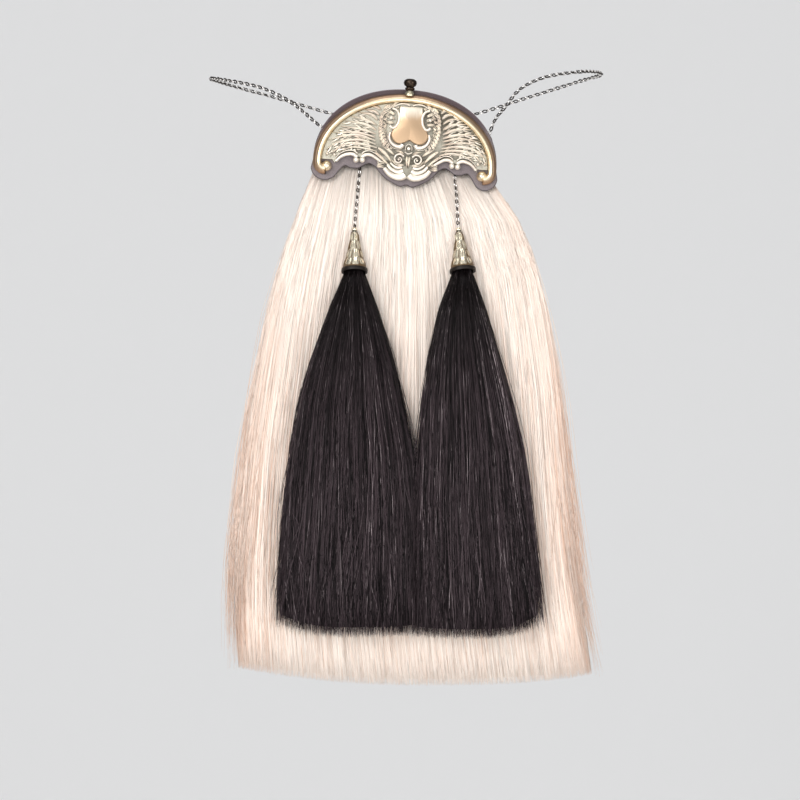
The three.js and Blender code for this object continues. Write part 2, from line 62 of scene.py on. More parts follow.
BACKING_BACK = 21.6  # depths in front of the pouch's flat back
BACKING_THICK = 2.5
PLATE_BACK = 24.4
PLATE_GROUND = 2.2  # thickness of the plate's ground, under the carved work
SHIELD_BACK = 28.3

SEED = 20


def deselect():
    for item in bpy.context.selected_objects:
        item.select_set(False)


def choose(piece):
    deselect()
    piece.select_set(True)
    bpy.context.view_layer.objects.active = piece


# ---------------------------------------------------------------- camera, floor and light

VIEW_CENTRE = Vector((-5.2, -28, -221.5)) * MM
VIEW_WIDTH = 0.652
VIEW_DISTANCE = 2.3
SENSOR = 36


def add_camera():
    data = bpy.data.cameras.new("camera")
    data.sensor_width = SENSOR
    data.lens = SENSOR * VIEW_DISTANCE / VIEW_WIDTH
    camera = bpy.data.objects.new("camera", data)
    bpy.context.scene.collection.objects.link(camera)
    camera.location = VIEW_CENTRE + Vector((0, -VIEW_DISTANCE, 0))
    camera.rotation_euler = (math.radians(90), 0, 0)
    bpy.context.scene.camera = camera


add_camera()

# ---------------------------------------------------------------- shader expressions


class Value:
    """A shader socket that takes part in Python sums; each operation adds its Math node."""

    def __init__(self, board, socket):
        self.board = board
        self.socket = socket

    def math(self, operation, *others, clamp=False):
        settings = {"operation": operation, "use_clamp": clamp}
        return self.board.node("ShaderNodeMath", settings, dict(enumerate((self, *others))))

    def __add__(self, other):
        return self.math("ADD", other)

    def __sub__(self, other):
        return self.math("SUBTRACT", other)

    def __rsub__(self, other):
        return self.board.node("ShaderNodeMath", {"operation": "SUBTRACT"}, {0: other, 1: self})

    def __mul__(self, other):
        return self.math("MULTIPLY", other)

    __radd__ = __add__
    __rmul__ = __mul__

    def clamped(self):
        return self.math("ADD", 0.0, clamp=True)

    def step(self, low, high):
        """0 below low, 1 above high, smooth between."""
        settings = {"interpolation_type": "SMOOTHSTEP"}
        return self.board.node("ShaderNodeMapRange", settings, {"Value": self, 1: low, 2: high})


class Board:
    """One material and its nodes."""

    def __init__(self, name):
        self.material = bpy.data.materials.new(name)
        self.material.use_nodes = True
        self.tree = self.material.node_tree
        self.shader = self.tree.nodes["Principled BSDF"]

    def node(self, kind, settings=None, sockets=None, output=0):
        made = self.tree.nodes.new(kind)
        settings = dict(settings or {})
        stops = settings.pop("stops", None)
        for name, value in settings.items():
            setattr(made, name, value)
        if stops:
            ramp = made.color_ramp.elements
            while len(ramp) < len(stops):
                ramp.new(0.5)
            for element, (place, colour) in zip(ramp, stops):
                element.position = place
                element.color = (*colour, 1)
        for name, value in (sockets or {}).items():
            self.feed(made.inputs[name], value)
        return Value(self, made.outputs[output])

    def feed(self, socket, value):
        if isinstance(value, Value):
            self.tree.links.new(value.socket, socket)
        elif isinstance(value, tuple) and len(value) == 3 and socket.type == "RGBA":
            socket.default_value = (*value, 1)
        else:
            socket.default_value = value

    def place(self):
        """Object coordinates."""
        return self.node("ShaderNodeTexCoord", output=3)

    def axis(self, name):
        """One Object coordinate, in millimetres."""
        return self.node("ShaderNodeSeparateXYZ", None, {0: self.place()}, "XYZ".index(name)) * 1000

    def stretched(self, scale):
        """Object coordinates in millimetres, times a scale along each axis."""
        size = tuple(1000 * part for part in scale)
        return self.node("ShaderNodeMapping", None, {"Vector": self.place(), "Scale": size})

    def noise(self, scale, detail=3, rough=0.55, output=0):
        """Noise whose scale is in waves a millimetre, one number or one for each axis."""
        size = scale if isinstance(scale, tuple) else (scale, scale, scale)
        sockets = {"Vector": self.stretched(size), "Scale": 1.0, "Detail": detail, "Roughness": rough}
        return self.node("ShaderNodeTexNoise", None, sockets, output)

    def attribute(self, name):
        return self.node("ShaderNodeAttribute", {"attribute_name": name}, None, "Fac")

    def mix(self, factor, first, second, blend="MIX"):
        settings = {"data_type": "RGBA", "blend_type": blend, "clamp_factor": True}
        return self.node("ShaderNodeMix", settings, {0: factor, 6: first, 7: second}, 2)

    def bump(self, height, distance, strength=1.0):
        sockets = {"Height": height, "Distance": distance, "Strength": strength}
        return self.node("ShaderNodeBump", None, sockets)

    def finish(self, **sockets):
        """Feeds the shader's own sockets, with underscores for the spaces in their names."""
        for name, value in sockets.items():
            self.feed(self.shader.inputs[name.replace("_", " ")], value)
        return self.material


# ---------------------------------------------------------------- finishes


def cream_strands():
    """Single cream hairs: tone is 0 to 1, paler to deeper, and patches of hair differ a little."""
    board = Board("cream_horsehair")
    # tone holds each hair's own tone, and painted shade towards the sides.
    tone = board.attribute("tone")
    patch = board.noise((0.05, 0.05, 0.008), 2)
    low = 1 - board.axis("Z").step(-300, -40)
    mixed = (tone * (low * 0.6 + 0.4) + patch * 0.3 - 0.15).clamped()
    colour = board.mix(mixed, (0.98, 0.91, 0.84), (0.80, 0.57, 0.445))
    return board.finish(Base_Color=colour, Roughness=0.48, Specular_IOR_Level=0.3)


def cream_mass():
    """The body of the hair between the single hairs, with the shade that lies in it."""
    board = Board("cream_horsehair_body")
    streak = board.noise((0.9, 0.35, 0.010), 4, 0.6)
    fine = board.noise((3.2, 1.0, 0.03), 2, 0.5)
    colour = board.mix(streak.step(0.40, 0.70), (0.98, 0.90, 0.80), (0.86, 0.70, 0.56))
    normal = board.bump(streak * 0.6 + fine * 0.4, 0.0005, 0.5)
    return board.finish(Base_Color=colour, Roughness=0.62, Specular_IOR_Level=0.25, Normal=normal)


def black_strands():
    """Single black hairs: painted shade under the cones; a few paler ones with glints painted along them.
    """
    board = Board("black_horsehair")
    tone = board.attribute("tone")
    # Painted shade: the hairs darken towards the cones above them.
    under_cone_shade = board.axis("Z").step(-235, -128)
    body = board.mix(tone.step(0.15, 0.9), (0.0040, 0.0025, 0.0028), (0.078, 0.055, 0.062))
    body = board.mix(under_cone_shade * 0.85, body, (0.0035, 0.0020, 0.0020))
    # Painted highlight: glint streaks along the few palest hairs, which are a little paler besides.
    glint = board.noise((0.9, 0.9, 0.03), 2).step(0.52, 0.66)
    pale = tone.step(0.84, 1.0) * (glint * 0.8 + 0.12)
    colour = board.mix(pale, body, (0.42, 0.35, 0.36))
    return board.finish(Base_Color=colour, Roughness=0.42, Specular_IOR_Level=0.16)


def black_mass():
    board = Board("black_horsehair_body")
    streak = board.noise((1.3, 0.5, 0.014), 4, 0.6)
    colour = board.mix(streak.step(0.45, 0.75), (0.0025, 0.0015, 0.0017), (0.020, 0.0135, 0.015))
    normal = board.bump(streak, 0.0006, 0.8)
    return board.finish(Base_Color=colour, Roughness=0.6, Specular_IOR_Level=0.12, Normal=normal)


def leather():
    """Plum-brown grained hide, paler where it is rubbed and dark along its cut edges."""
    board = Board("grained_leather")
    cloud = board.noise(0.02, 2) * 0.7 + board.noise(0.35, 3) * 0.3
    grain = board.noise(1.4, 5, 0.65)
    cells = {"Vector": board.stretched((1.1, 1.1, 1.1)), "Scale": 1.0}
    pores = board.node("ShaderNodeTexVoronoi", {"feature": "DISTANCE_TO_EDGE"}, cells)
    crease = pores.step(0.0, 0.22)
    edge = board.attribute("edge")
    hide = board.mix(cloud.step(0.35, 0.7), (0.195, 0.160, 0.165), (0.310, 0.262, 0.268))
    hide = board.mix((1 - crease) * 0.5, hide, (0.10, 0.075, 0.080))
    worn = board.mix(edge, hide, (0.050, 0.036, 0.040))
    # Painted shade darkens the hide near the top, and a painted highlight lightens its edge there.
    crown = board.mix(edge, (0.066, 0.040, 0.044), (0.175, 0.135, 0.152))
    colour = board.mix(board.axis("Z").step(-16, 8), worn, crown)
    rough = grain * 0.25 + 0.38 + edge * 0.15
    normal = board.bump(crease * 0.7 + grain * 0.5, 0.00025, 0.6)
    return board.finish(Base_Color=colour, Roughness=rough, Normal=normal, Specular_IOR_Level=0.5)


def cast_relief():
    """Antique silver over brass: bright on the crests, olive-dark in the hollows."""
    board = Board("antique_cast_relief")
    hollow = board.attribute("hollow")
    crest = board.attribute("crest")
    speck = board.noise(1.6, 4, 0.7)
    cloud = board.noise(0.11, 2)
    bright = board.mix(cloud.step(0.4, 0.65), (0.97, 0.90, 0.79), (0.88, 0.78, 0.68))
    field = board.mix(crest.step(0.1, 0.8), (0.50, 0.47, 0.39), bright)
    stain = (hollow + (speck - 0.5) * 0.3).step(0.27, 0.70)
    colour = board.mix(stain, field, (0.095, 0.083, 0.060))
    rough = stain * 0.3 + 0.33 + speck * 0.08
    metal = 0.7 - stain * 0.5
    normal = board.bump(speck, 0.00012, 0.35)
    return board.finish(Base_Color=colour, Metallic=metal, Roughness=rough, Normal=normal)


def rim_brass():
    """Rolled brass: polished along the bead, and brown down the outer flank as a painted dark reflection.
    """
    board = Board("rolled_brass")
    flank = board.attribute("flank")
    cloud = board.noise(0.12, 3)
    wear = board.noise((0.9, 0.9, 0.9), 3, 0.6)
    bead = board.mix(cloud.step(0.35, 0.7), (0.96, 0.82, 0.60), (0.90, 0.70, 0.45))
    # Painted reflection: the outer flank is coloured brown for the darker room it faces.
    tone = board.mix(cloud.step(0.35, 0.7), (0.52, 0.34, 0.21), (0.40, 0.25, 0.17))
    shade = flank.step(0.05, 0.95)
    colour = board.mix(shade, bead, tone)
    rough = shade * 0.10 + 0.27 + wear * 0.05
    normal = board.bump(wear, 0.00002, 0.15)
    return board.finish(Base_Color=colour, Metallic=1.0, Roughness=rough, Normal=normal)


def satin_brass():
    board = Board("satin_brass")
    brushed = board.noise((2.4, 0.6, 0.10), 3, 0.5)
    # Painted highlight: pale near the top and tan-brown lower down, for the bright room reflected above.
    height = (board.axis("Z") + (brushed - 0.5) * 5).step(5, 17)
    colour = board.mix(height, (0.475, 0.33, 0.21), (0.90, 0.83, 0.70))
    rough = brushed * 0.16 + 0.34
    normal = board.bump(brushed, 0.00004, 0.3)
    return board.finish(Base_Color=colour, Metallic=1.0, Roughness=rough, Normal=normal)


def cone_metal():
    board = Board("embossed_brass")
    hollow = board.attribute("hollow")
    speck = board.noise(1.8, 4, 0.7)
    bright = board.mix(speck.step(0.35, 0.7), (1.0, 0.94, 0.77), (1.0, 0.86, 0.61))
    # stain darkens the recesses as patina and, through the hollow mark, the two sides as painted shade.
    stain = (hollow + (speck - 0.5) * 0.7).step(0.52, 1.0)
    colour = board.mix(stain, bright, (0.13, 0.078, 0.032))
    # The lip and the collar groove are painted near black as painted shade along them.
    colour = board.mix(board.attribute("lip"), colour, (0.010, 0.006, 0.004))
    rough = stain * 0.3 + 0.2
    normal = board.bump(speck, 0.0001, 0.3)
    return board.finish(Base_Color=colour, Metallic=1 - stain * 0.6, Roughness=rough, Normal=normal)


def silver_tarnish_and_painted_link_shade():
    board = Board("silver_tarnish_and_painted_link_shade")
    wear = board.noise(0.8, 3, 0.6)
    # Painted shade darkens every second chain link through tone; the wear noise adds random tarnish.
    tarnish_and_link_shade = (board.attribute("tone") + (wear - 0.5) * 0.4).step(0.38, 0.72)
    colour = board.mix(tarnish_and_link_shade, (0.90, 0.87, 0.84), (0.05, 0.042, 0.038))
    return board.finish(Base_Color=colour, Metallic=1.0, Roughness=tarnish_and_link_shade * 0.2 + 0.2)


def dark_brass():
    board = Board("brass_painted_dark_and_highlit")
    wear = board.noise((0.5, 0.5, 1.2), 3, 0.6)
    rub = board.attribute("rub")
    dark = board.mix(wear.step(0.4, 0.7), (0.035, 0.025, 0.020), (0.09, 0.065, 0.045))
    # The knob is painted dark as a dark reflection, and its base bright as a painted highlight.
    colour = board.mix((rub + (wear - 0.5) * 0.2).step(0.35, 0.7), dark, (0.74, 0.66, 0.48))
    return board.finish(Base_Color=colour, Metallic=1.0, Roughness=wear * 0.15 + 0.24)


# ---------------------------------------------------------------- meshes


def piece_from(name, points, faces, material, smooth=True):
    """A mesh object from arrays of points in metres and faces."""
    mesh = bpy.data.meshes.new(name)
    points = np.asarray(points, np.float32)
    faces = np.asarray(faces, np.int32)
    sides = faces.shape[1]
    mesh.vertices.add(len(points))
    mesh.vertices.foreach_set("co", points.ravel())
    mesh.loops.add(faces.size)
    mesh.loops.foreach_set("vertex_index", faces.ravel())
    mesh.polygons.add(len(faces))
    mesh.polygons.foreach_set("loop_start", np.arange(0, faces.size, sides, dtype=np.int32))
    mesh.polygons.foreach_set("use_smooth", np.full(len(faces), smooth))
    mesh.update(calc_edges=True)
    mesh.validate()
    mesh.materials.append(material)
    made = bpy.data.objects.new(name, mesh)
    bpy.context.scene.collection.objects.link(made)
    return made


def mark(piece, name, values):
    """Keeps one number for each point of a piece, for its material."""
    layer = piece.data.attributes.new(name, "FLOAT", "POINT")
    layer.data.foreach_set("value", np.asarray(values, np.float32))


def upright(across, down, depth):
    """Place in the row frame, before the lean, of a point on the cantle in millimetres."""
    return np.stack([across, -np.asarray(depth), CROWN - np.asarray(down)], -1) * MM


def lean(piece):
    """Leans a finished piece with the pouch."""
    turn = Matrix.Translation(LEAN_PIVOT) @ Matrix.Rotation(LEAN, 4, "Y") @ Matrix.Translation(-LEAN_PIVOT)
    piece.data.transform(turn)
    piece.data.update()


def settle(piece, slot, *nodes):
    """Rides a finished piece on the frame and hides the CAD nodes that it stands for; slot is not used."""
    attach(piece, "root")
    if nodes:
        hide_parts(*nodes)


def loft_faces(rings, count, closed=True):
    """Quads between rings of points, each ring with the same count."""
    row, col = np.meshgrid(np.arange(rings - 1), np.arange(count if closed else count - 1), indexing="ij")
    a = (row * count + col).ravel()
    b = (row * count + (col + 1) % count).ravel()
    return np.stack([a, b, b + count, a + count], -1)


# ---------------------------------------------------------------- horsehair


class Fall:
    """The outer form of a body of hair, read from its CAD solid, between a top and a bottom edge.

    The edges are heights in millimetres for a share across, -1 to 1. Rows are read only between the
    two heights where the solid is cut level, and are carried on in line past them.
    """

    def __init__(self, node, square, low, high, top_edge, bottom_edge):
        self.square = square
        self.top_edge = lambda share: top_edge(share) * MM
        self.bottom_edge = lambda share: bottom_edge(share) * MM
        tree = BVHTree.FromObject(NODES[node], bpy.context.evaluated_depsgraph_get())
        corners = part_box(node)
        rows = [self.row(tree, *corners, height) for height in np.linspace(low * MM, high * MM, 56)]
        self.rows = np.array([row for row in rows if row])

    @staticmethod
    def row(tree, low, high, height):
        """A height, and the solid's left, right, front and back there."""
        depths = []
        for x in np.linspace(low[0], high[0], 41)[1:-1]:
            front = tree.ray_cast(Vector((x, low[1] - 1, height)), Vector((0, 1, 0)))[0]
            back = tree.ray_cast(Vector((x, high[1] + 1, height)), Vector((0, -1, 0)))[0]
            if front and back:
                depths.append((back.y - front.y, front.y, back.y))
        if not depths:
            return None
        _, front, back = max(depths)
        level = (front + back) / 2
        left = tree.ray_cast(Vector((low[0] - 1, level, height)), Vector((1, 0, 0)))[0]
        right = tree.ray_cast(Vector((high[0] + 1, level, height)), Vector((-1, 0, 0)))[0]
        return (height, left.x, right.x, front, back) if left and right else None

    def at(self, height):
        """Left, right, front and back at an array of heights."""
        height = np.asarray(height, float)
        heights = self.rows[:, 0]
        out = []
        for column in self.rows[:, 1:].T:
            below = column[0] + np.polyfit(heights[:6], column[:6], 1)[0] * (height - heights[0])
            above = column[-1] + np.polyfit(heights[-6:], column[-6:], 1)[0] * (height - heights[-1])
            value = np.interp(height, heights, column)
            out.append(np.where(height < heights[0], below, np.where(height > heights[-1], above, value)))
        return out

    def point(self, share, side, lift, height):
        """Place at a share across, on the front (side 1) or back (side -1), lifted off it."""
        left, right, front, back = self.at(height)
        x = (left + right) / 2 + (right - left) / 2 * share
        round_off = np.clip(1 - np.abs(share) ** self.square, 0, 1) ** (1 / self.square)
        y = (front + back) / 2 - side * ((back - front) / 2 * round_off + lift)
        return np.stack([x, y, height + 0 * x], -1)


def hair_body(name, fall, columns, rows, depth, short, material, rng):
    """The solid mass of the hair, ridged into locks from top to bottom; it ends short of the tips."""
    angle = np.linspace(0, 2 * np.pi, columns, endpoint=False)
    power = 2 / fall.square
    share = np.sign(np.cos(angle)) * np.abs(np.cos(angle)) ** power
    front_share = np.sign(np.sin(angle)) * np.abs(np.sin(angle)) ** power
    waves = [(rng.integers(14, 120), rng.uniform(0, 6.28), rng.uniform(-2, 2)) for _ in range(26)]
    top, bottom = fall.top_edge(share), fall.bottom_edge(share) + short * MM
    points = []
    for along in np.linspace(0, 1, rows):
        height = top + (bottom - top) * along
        left, right, front, back = fall.at(height)
        ridge = sum(np.sin(n * angle + phase + twist * along) for n, phase, twist in waves) / 26
        inset = depth * (1 - 1.2 * ridge)
        half_x = np.maximum((right - left) / 2 - inset, 0.2 * MM)
        half_y = np.maximum((back - front) / 2 - inset, 0.2 * MM)
        x = (left + right) / 2 + half_x * share
        y = (front + back) / 2 - half_y * front_share
        points.append(np.stack([x, y, height], -1))
    body = piece_from(name, np.concatenate(points), loft_faces(rows, columns), material)
    close_ends(body)
    return body


def close_ends(piece):
    """Closes a piece's open ends and turns its faces outwards."""
    choose(piece)
    bpy.ops.object.mode_set(mode="EDIT")
    bpy.ops.mesh.select_all(action="SELECT")
    bpy.ops.mesh.fill_holes(sides=0)
    bpy.ops.mesh.normals_make_consistent(inside=False)
    bpy.ops.object.mode_set(mode="OBJECT")


def strands(name, paths, widths, tones, material):
    """Closed three-sided tapering hairs. paths is hairs x stations x 3; widths and tones drop the 3."""
    count, stations, _ = paths.shape
    along = np.gradient(paths, axis=1)
    along /= np.linalg.norm(along, axis=2, keepdims=True) + 1e-12
    outward = np.broadcast_to(np.array([0.0, -1.0, 0.0]), along.shape)
    side = np.cross(along, outward)
    side /= np.linalg.norm(side, axis=2, keepdims=True) + 1e-12
    outward = np.cross(side, along)
    width = widths[:, :, None]
    corners = np.stack(
        [paths - side * width / 2, paths + side * width / 2, paths + outward * width * 0.62], axis=2
    )
    points = corners.reshape(-1, 3)
    ring = np.arange(stations * 3).reshape(stations, 3)
    quads = []
    for corner in range(3):
        after = (corner + 1) % 3
        quads.append(np.stack([ring[:-1, corner], ring[1:, corner], ring[1:, after], ring[:-1, after]], -1))
    quads = np.concatenate(quads)
    triangles = np.concatenate([quads[:, [0, 1, 2]], quads[:, [0, 2, 3]]])
    ends = np.array([ring[0, [0, 1, 2]], ring[-1, [2, 1, 0]]])
    one = np.concatenate([triangles, ends])
    faces = (one[None] + np.arange(count)[:, None, None] * stations * 3).reshape(-1, 3)
    hairs = piece_from(name, points, faces, material)
    mark(hairs, "tone", np.repeat(np.broadcast_to(tones, (count, stations)).ravel(), 3))
    strip_map(hairs, count, stations, faces)
    return hairs


def strip_map(hairs, count, stations, faces):
    """A UV map that gives each hair its own upright strip."""
    columns = math.ceil(math.sqrt(count * 12))
    rows = math.ceil(count / columns)
    corner = faces.ravel()
    hair = corner // (stations * 3)
    station = corner % (stations * 3) // 3
    point = corner % 3
    u = (hair % columns + 0.15 + 0.35 * point) / columns
    v = (hair // columns + 0.04 + 0.92 * station / (stations - 1)) / rows
    layer = hairs.data.uv_layers.new(name="OFBake")
    layer.data.foreach_set("uv", np.stack([u, v], -1).astype(np.float32).ravel())


def combed(
    fall, count, stations, rng, side, late, short, lift, width, wander, tuft, overhang=1.0, ragged=1.2
):
    """Paths and widths of combed hairs on one side of a body of hair, with their shares across.

    late is the share of hairs that come out from under others and how far down, short the share that
    end early and how far up, wander how far hairs drift, tuft how strongly their tips gather, and
    ragged how uneven the cut is.
    """
    share = rng.uniform(-1, 1, count)
    start = fall.top_edge(share) - (rng.random(count) < late[0]) * rng.uniform(0, late[1], count) * MM
    end = fall.bottom_edge(share) + (rng.gamma(1.6, ragged, count) - 1.6) * MM
    end += (rng.random(count) < short[0]) * rng.uniform(0, short[1], count) * MM
    t = np.linspace(0, 1, stations)[None, :]
    height = start[:, None] + (end - start)[:, None] * t
    drift = rng.normal(0, wander, count)[:, None] * (t - 0.3)
    sway = rng.normal(0, wander * 0.3, count)[:, None]
    sway = sway * np.sin(t * rng.uniform(2, 8, count)[:, None] + rng.uniform(0, 6.28, count)[:, None])
    lock = (np.round(share * 38 + rng.normal(0, 0.25, count)) / 38 - share)[:, None]
    gather = lock * tuft * t**3
    across = np.clip(share[:, None] + drift + sway * np.clip(t * 3, 0, 1) + gather, -overhang, overhang)
    off = rng.uniform(-0.3, 1, count)[:, None] * lift * MM
    off = off * np.sin(np.pi * np.clip(t * 0.9 + 0.1, 0, 1)) ** 0.6
    paths = fall.point(across, side, off, height)
    taper = np.clip(np.minimum(t / 0.04 + 0.5, (1 - t) / 0.12 + 0.14), 0, 1)
    widths = rng.uniform(0.65, 1.25, count)[:, None] * width * MM * taper
    widths *= 0.6 + 0.4 * np.clip((start[0] - height) / (90 * MM), 0, 1)
    return paths, widths, across


def loose(fall, count, stations, rng, reach, sides_only):
    """Paths and widths of stray hairs that stand off the sides and the lower edge."""
    outer = rng.random(count) < sides_only
    hand = np.sign(rng.uniform(-1, 1, count))
    share = np.where(outer, hand * rng.uniform(0.94, 1.0, count), rng.uniform(-1, 1, count))
    start = fall.top_edge(share) - rng.uniform(20, 220, count) * MM
    end = fall.bottom_edge(share) - rng.uniform(-90, 3, count) * MM
    t = np.linspace(0, 1, stations)[None, :]
    height = start[:, None] + (end - start)[:, None] * t
    bow = rng.normal(0, reach * 0.35, count)[:, None]
    bow = bow * np.sin(t * np.pi * rng.uniform(0.5, 1.6, count)[:, None])
    away = np.where(outer, rng.uniform(0, reach, count), 0)[:, None] * np.sign(share)[:, None] * t**1.5
    lift = rng.uniform(0.3, 3, count)[:, None] * MM * t
    paths = fall.point(share[:, None] + bow + away, 1, lift, height)
    widths = np.full((count, stations), 0.34 * MM) * np.clip((1 - t) / 0.3 + 0.25, 0, 1)
    return paths, widths


def front_foot(share):
    """The front's lower edge: a shallow curve that climbs more to the left."""
    return -453 + np.where(share < 0, 14 * share**2, 9 * np.abs(share) ** 3)


def cream_front():
    """The cream front: a body, several layers of combed hairs over it, and strays."""
    slope = math.tan(LEAN)
    fall = Fall("hair_front", 3, -424, -48, lambda share: -25.8 - 68 * share * slope, front_foot)
    rng = np.random.default_rng(SEED)
    body = hair_body("hair_front_body", fall, 300, 64, 1.2 * MM, 4, cream_mass(), rng)
    settle(body, "cream_hair", "hair_front")
    material = cream_strands()
    layers = [
        ("front_under", 1, 2900, 10, 0.6, 0.72, (0.35, 170), (0.2, 40), 0.012),
        ("front_over", 1, 3000, 10, 1.4, 0.5, (0.55, 260), (0.25, 60), 0.018),
        ("back", -1, 1500, 8, 0.6, 0.7, (0.2, 60), (0.2, 30), 0.012),
    ]
    for name, side, count, stations, lift, width, late, short, wander in layers:
        paths, widths, across = combed(
            fall, count, stations, rng, side, late, short, lift, width, wander, 0.55
        )
        # Each hair's tone is random, with painted shade added towards the sides.
        tones = rng.beta(1.3, 3.4, count)[:, None] + 0.42 * np.abs(across) ** 7
        settle(strands(f"hair_{name}_layer", paths, widths, tones, material), "cream_hair")
    paths, widths = loose(fall, 640, 10, rng, 0.08, 0.75)
    tones = rng.uniform(0.3, 1.0, 640)[:, None]
    settle(strands("hair_front_strays", paths, widths, tones, material), "cream_hair")


TASSEL_FOOT = {"left": (-412, 9, 1.5), "right": (-413.5, 1.5, 11)}


def tassel(hand, material, body_material):
    """Black hair of one tassel, from inside its cone down to an even cut that climbs outwards."""
    node = f"tassel_hair_{hand}"
    level, left, right = TASSEL_FOOT[hand]

    def foot(share):
        return level + np.where(share < 0, left, right) * np.abs(share) ** 2.4

    fall = Fall(node, 2.4, -396, -114, lambda share: -114 + 0 * share, foot)
    rng = np.random.default_rng(SEED + (1 if hand == "left" else 2))
    body = hair_body(f"{node}_body", fall, 150, 60, 1.2 * MM, 7, body_material, rng)
    settle(body, "black_hair", node)
    front = combed(fall, 2350, 9, rng, 1, (0.7, 250), (0.35, 110), 2.2, 0.42, 0.15, 0.4, 1.07, 2.4)
    back = combed(fall, 420, 8, rng, -1, (0.3, 90), (0.2, 30), 0.2, 0.6, 0.03, 0.4)
    for name, (paths, widths, _) in (("front", front), ("back", back)):
        tones = rng.random(len(paths))[:, None] ** 1.2
        settle(strands(f"{node}_{name}_strands", paths, widths, tones, material), "black_hair")
    paths, widths = loose(fall, 420, 9, rng, 0.13, 0.85)
    tones = rng.uniform(0.2, 0.95, 420)[:, None]
    settle(strands(f"{node}_strays", paths, widths, tones, material), "black_hair")


# ---------------------------------------------------------------- carved and cast work


class Carving:
    """Raised work gathered stroke by stroke, placed across, down and out, in millimetres."""

    # Sections of a stroke, from one side to the other: round, grooved along its middle, and keeled.
    ROLL = [
        (-1, 0), (-0.92, 0.42), (-0.65, 0.78), (-0.25, 0.98), (0.25, 0.98), (0.65, 0.78), (0.92, 0.42),
        (1, 0),
    ]
    LEAF = [
        (-1, 0), (-0.86, 0.55), (-0.52, 0.95), (-0.2, 0.72), (0, 0.4), (0.2, 0.72), (0.52, 0.95),
        (0.86, 0.55), (1, 0),
    ]
    RIDGE = [(-1, 0), (-0.72, 0.42), (-0.36, 0.84), (0, 1), (0.36, 0.84), (0.72, 0.42), (1, 0)]
    SINK = 0.8  # how far each stroke goes into the ground

    def __init__(self):
        self.points = []
        self.faces = []
        self.count = 0

    def add(self, points, faces):
        """Takes one closed stroke, turning its faces outwards for the frame that piece() puts it in."""
        faces = np.asarray(faces)
        a, b, c = (points[faces[:, i]] for i in range(3))
        if np.sum(a * np.cross(b, c)) > 0:
            faces = faces[:, ::-1]
        self.points.append(points)
        self.faces.append(faces + self.count)
        self.count += len(points)

    def stroke(self, line, widths, heights, section, base):
        line = np.asarray(line, float)
        ahead = np.gradient(line, axis=0)
        ahead /= np.linalg.norm(ahead, axis=1, keepdims=True) + 1e-9
        normal = np.stack([-ahead[:, 1], ahead[:, 0]], -1)
        rows = [(share, lift) for share, lift in section]
        rings = []
        for share, lift in rows:
            flat = line + normal * (share * widths / 2)[:, None]
            rings.append(np.column_stack([flat, base + lift * heights]))
        for share in (1, -1):
            flat = line + normal * (share * widths / 2)[:, None]
            rings.append(np.column_stack([flat, base - self.SINK + 0 * heights]))
        sides = len(rings)
        points = np.stack(rings, 1).reshape(-1, 3)
        quads = loft_faces(len(line), sides)
        triangles = np.concatenate([quads[:, [0, 1, 2]], quads[:, [0, 2, 3]]])
        fan = np.array([[0, i + 1, i] for i in range(1, sides - 1)])
        last = (len(line) - 1) * sides
        ends = np.concatenate([fan, fan[:, ::-1] + last])
        self.add(points, np.concatenate([triangles, ends]))

    def leaf(self, points, width, base, height, tip=0.55, section=LEAF):
        """A pointed leaf, grooved down its middle; tip is the share of height left at its point."""
        line = eased(points, 4)
        share = np.linspace(0, 1, len(line))
        widths = width * np.sin(np.pi * np.clip(share, 0.03, 0.985) ** 0.62) ** 0.75 + 0.12
        heights = height * (1 - (1 - tip) * share) * np.clip(share / 0.12 + 0.3, 0, 1)
        self.stroke(line, widths, heights, section, base)

    def roll(self, points, start, end, base, height):
        """A rounded moulding whose width runs from start to end."""
        line = eased(points, 4)
        share = np.linspace(0, 1, len(line))
        widths = start + (end - start) * share
        heights = height * np.sqrt(widths / max(start, end))
        self.stroke(line, widths, heights, self.ROLL, base)

    def bead(self, across, down, radius, base, height, rings=4, sides=12):
        angle = np.linspace(0, 2 * np.pi, sides, endpoint=False)
        points = []
        for i in range(rings + 1):
            tilt = np.pi / 2 * i / rings
            reach = radius * math.cos(tilt) + 0.02
            level = np.full(sides, base + height * math.sin(tilt))
            ring = [across + reach * np.cos(angle), down + reach * np.sin(angle), level]
            points.append(np.column_stack(ring))
        foot = points[0].copy()
        foot[:, 2] = base - self.SINK
        points = np.concatenate([foot, *points])
        quads = loft_faces(rings + 2, sides)
        triangles = np.concatenate([quads[:, [0, 1, 2]], quads[:, [0, 2, 3]]])
        fan = np.array([[0, i + 1, i] for i in range(1, sides - 1)])
        ends = np.concatenate([fan, fan[:, ::-1] + (rings + 1) * sides])
        self.add(points, np.concatenate([triangles, ends]))

    def both(self, method, points, *sizes, **more):
        """The same stroke on the right and, mirrored, on the left."""
        points = np.asarray(points, float)
        getattr(self, method)(points, *sizes, **more)
        getattr(self, method)(points * np.array([-1, 1]), *sizes, **more)

    def beads(self, across, down, *sizes):
        self.bead(across, down, *sizes)
        self.bead(-across, down, *sizes)

    def piece(self, name, material, face, shift=0.0):
        """One mesh, its heights measured from a face at a depth; the shift fades towards the sides."""
        points = np.concatenate(self.points)
        across = points[:, 0] + shift * np.clip(1 - (points[:, 0] / HALF) ** 2, 0, 1)
        placed = upright(across, points[:, 1], face + points[:, 2])
        made = piece_from(name, placed, np.concatenate(self.faces), material)
        choose(made)
        bpy.ops.object.shade_smooth_by_angle(angle=math.radians(55))
        return made


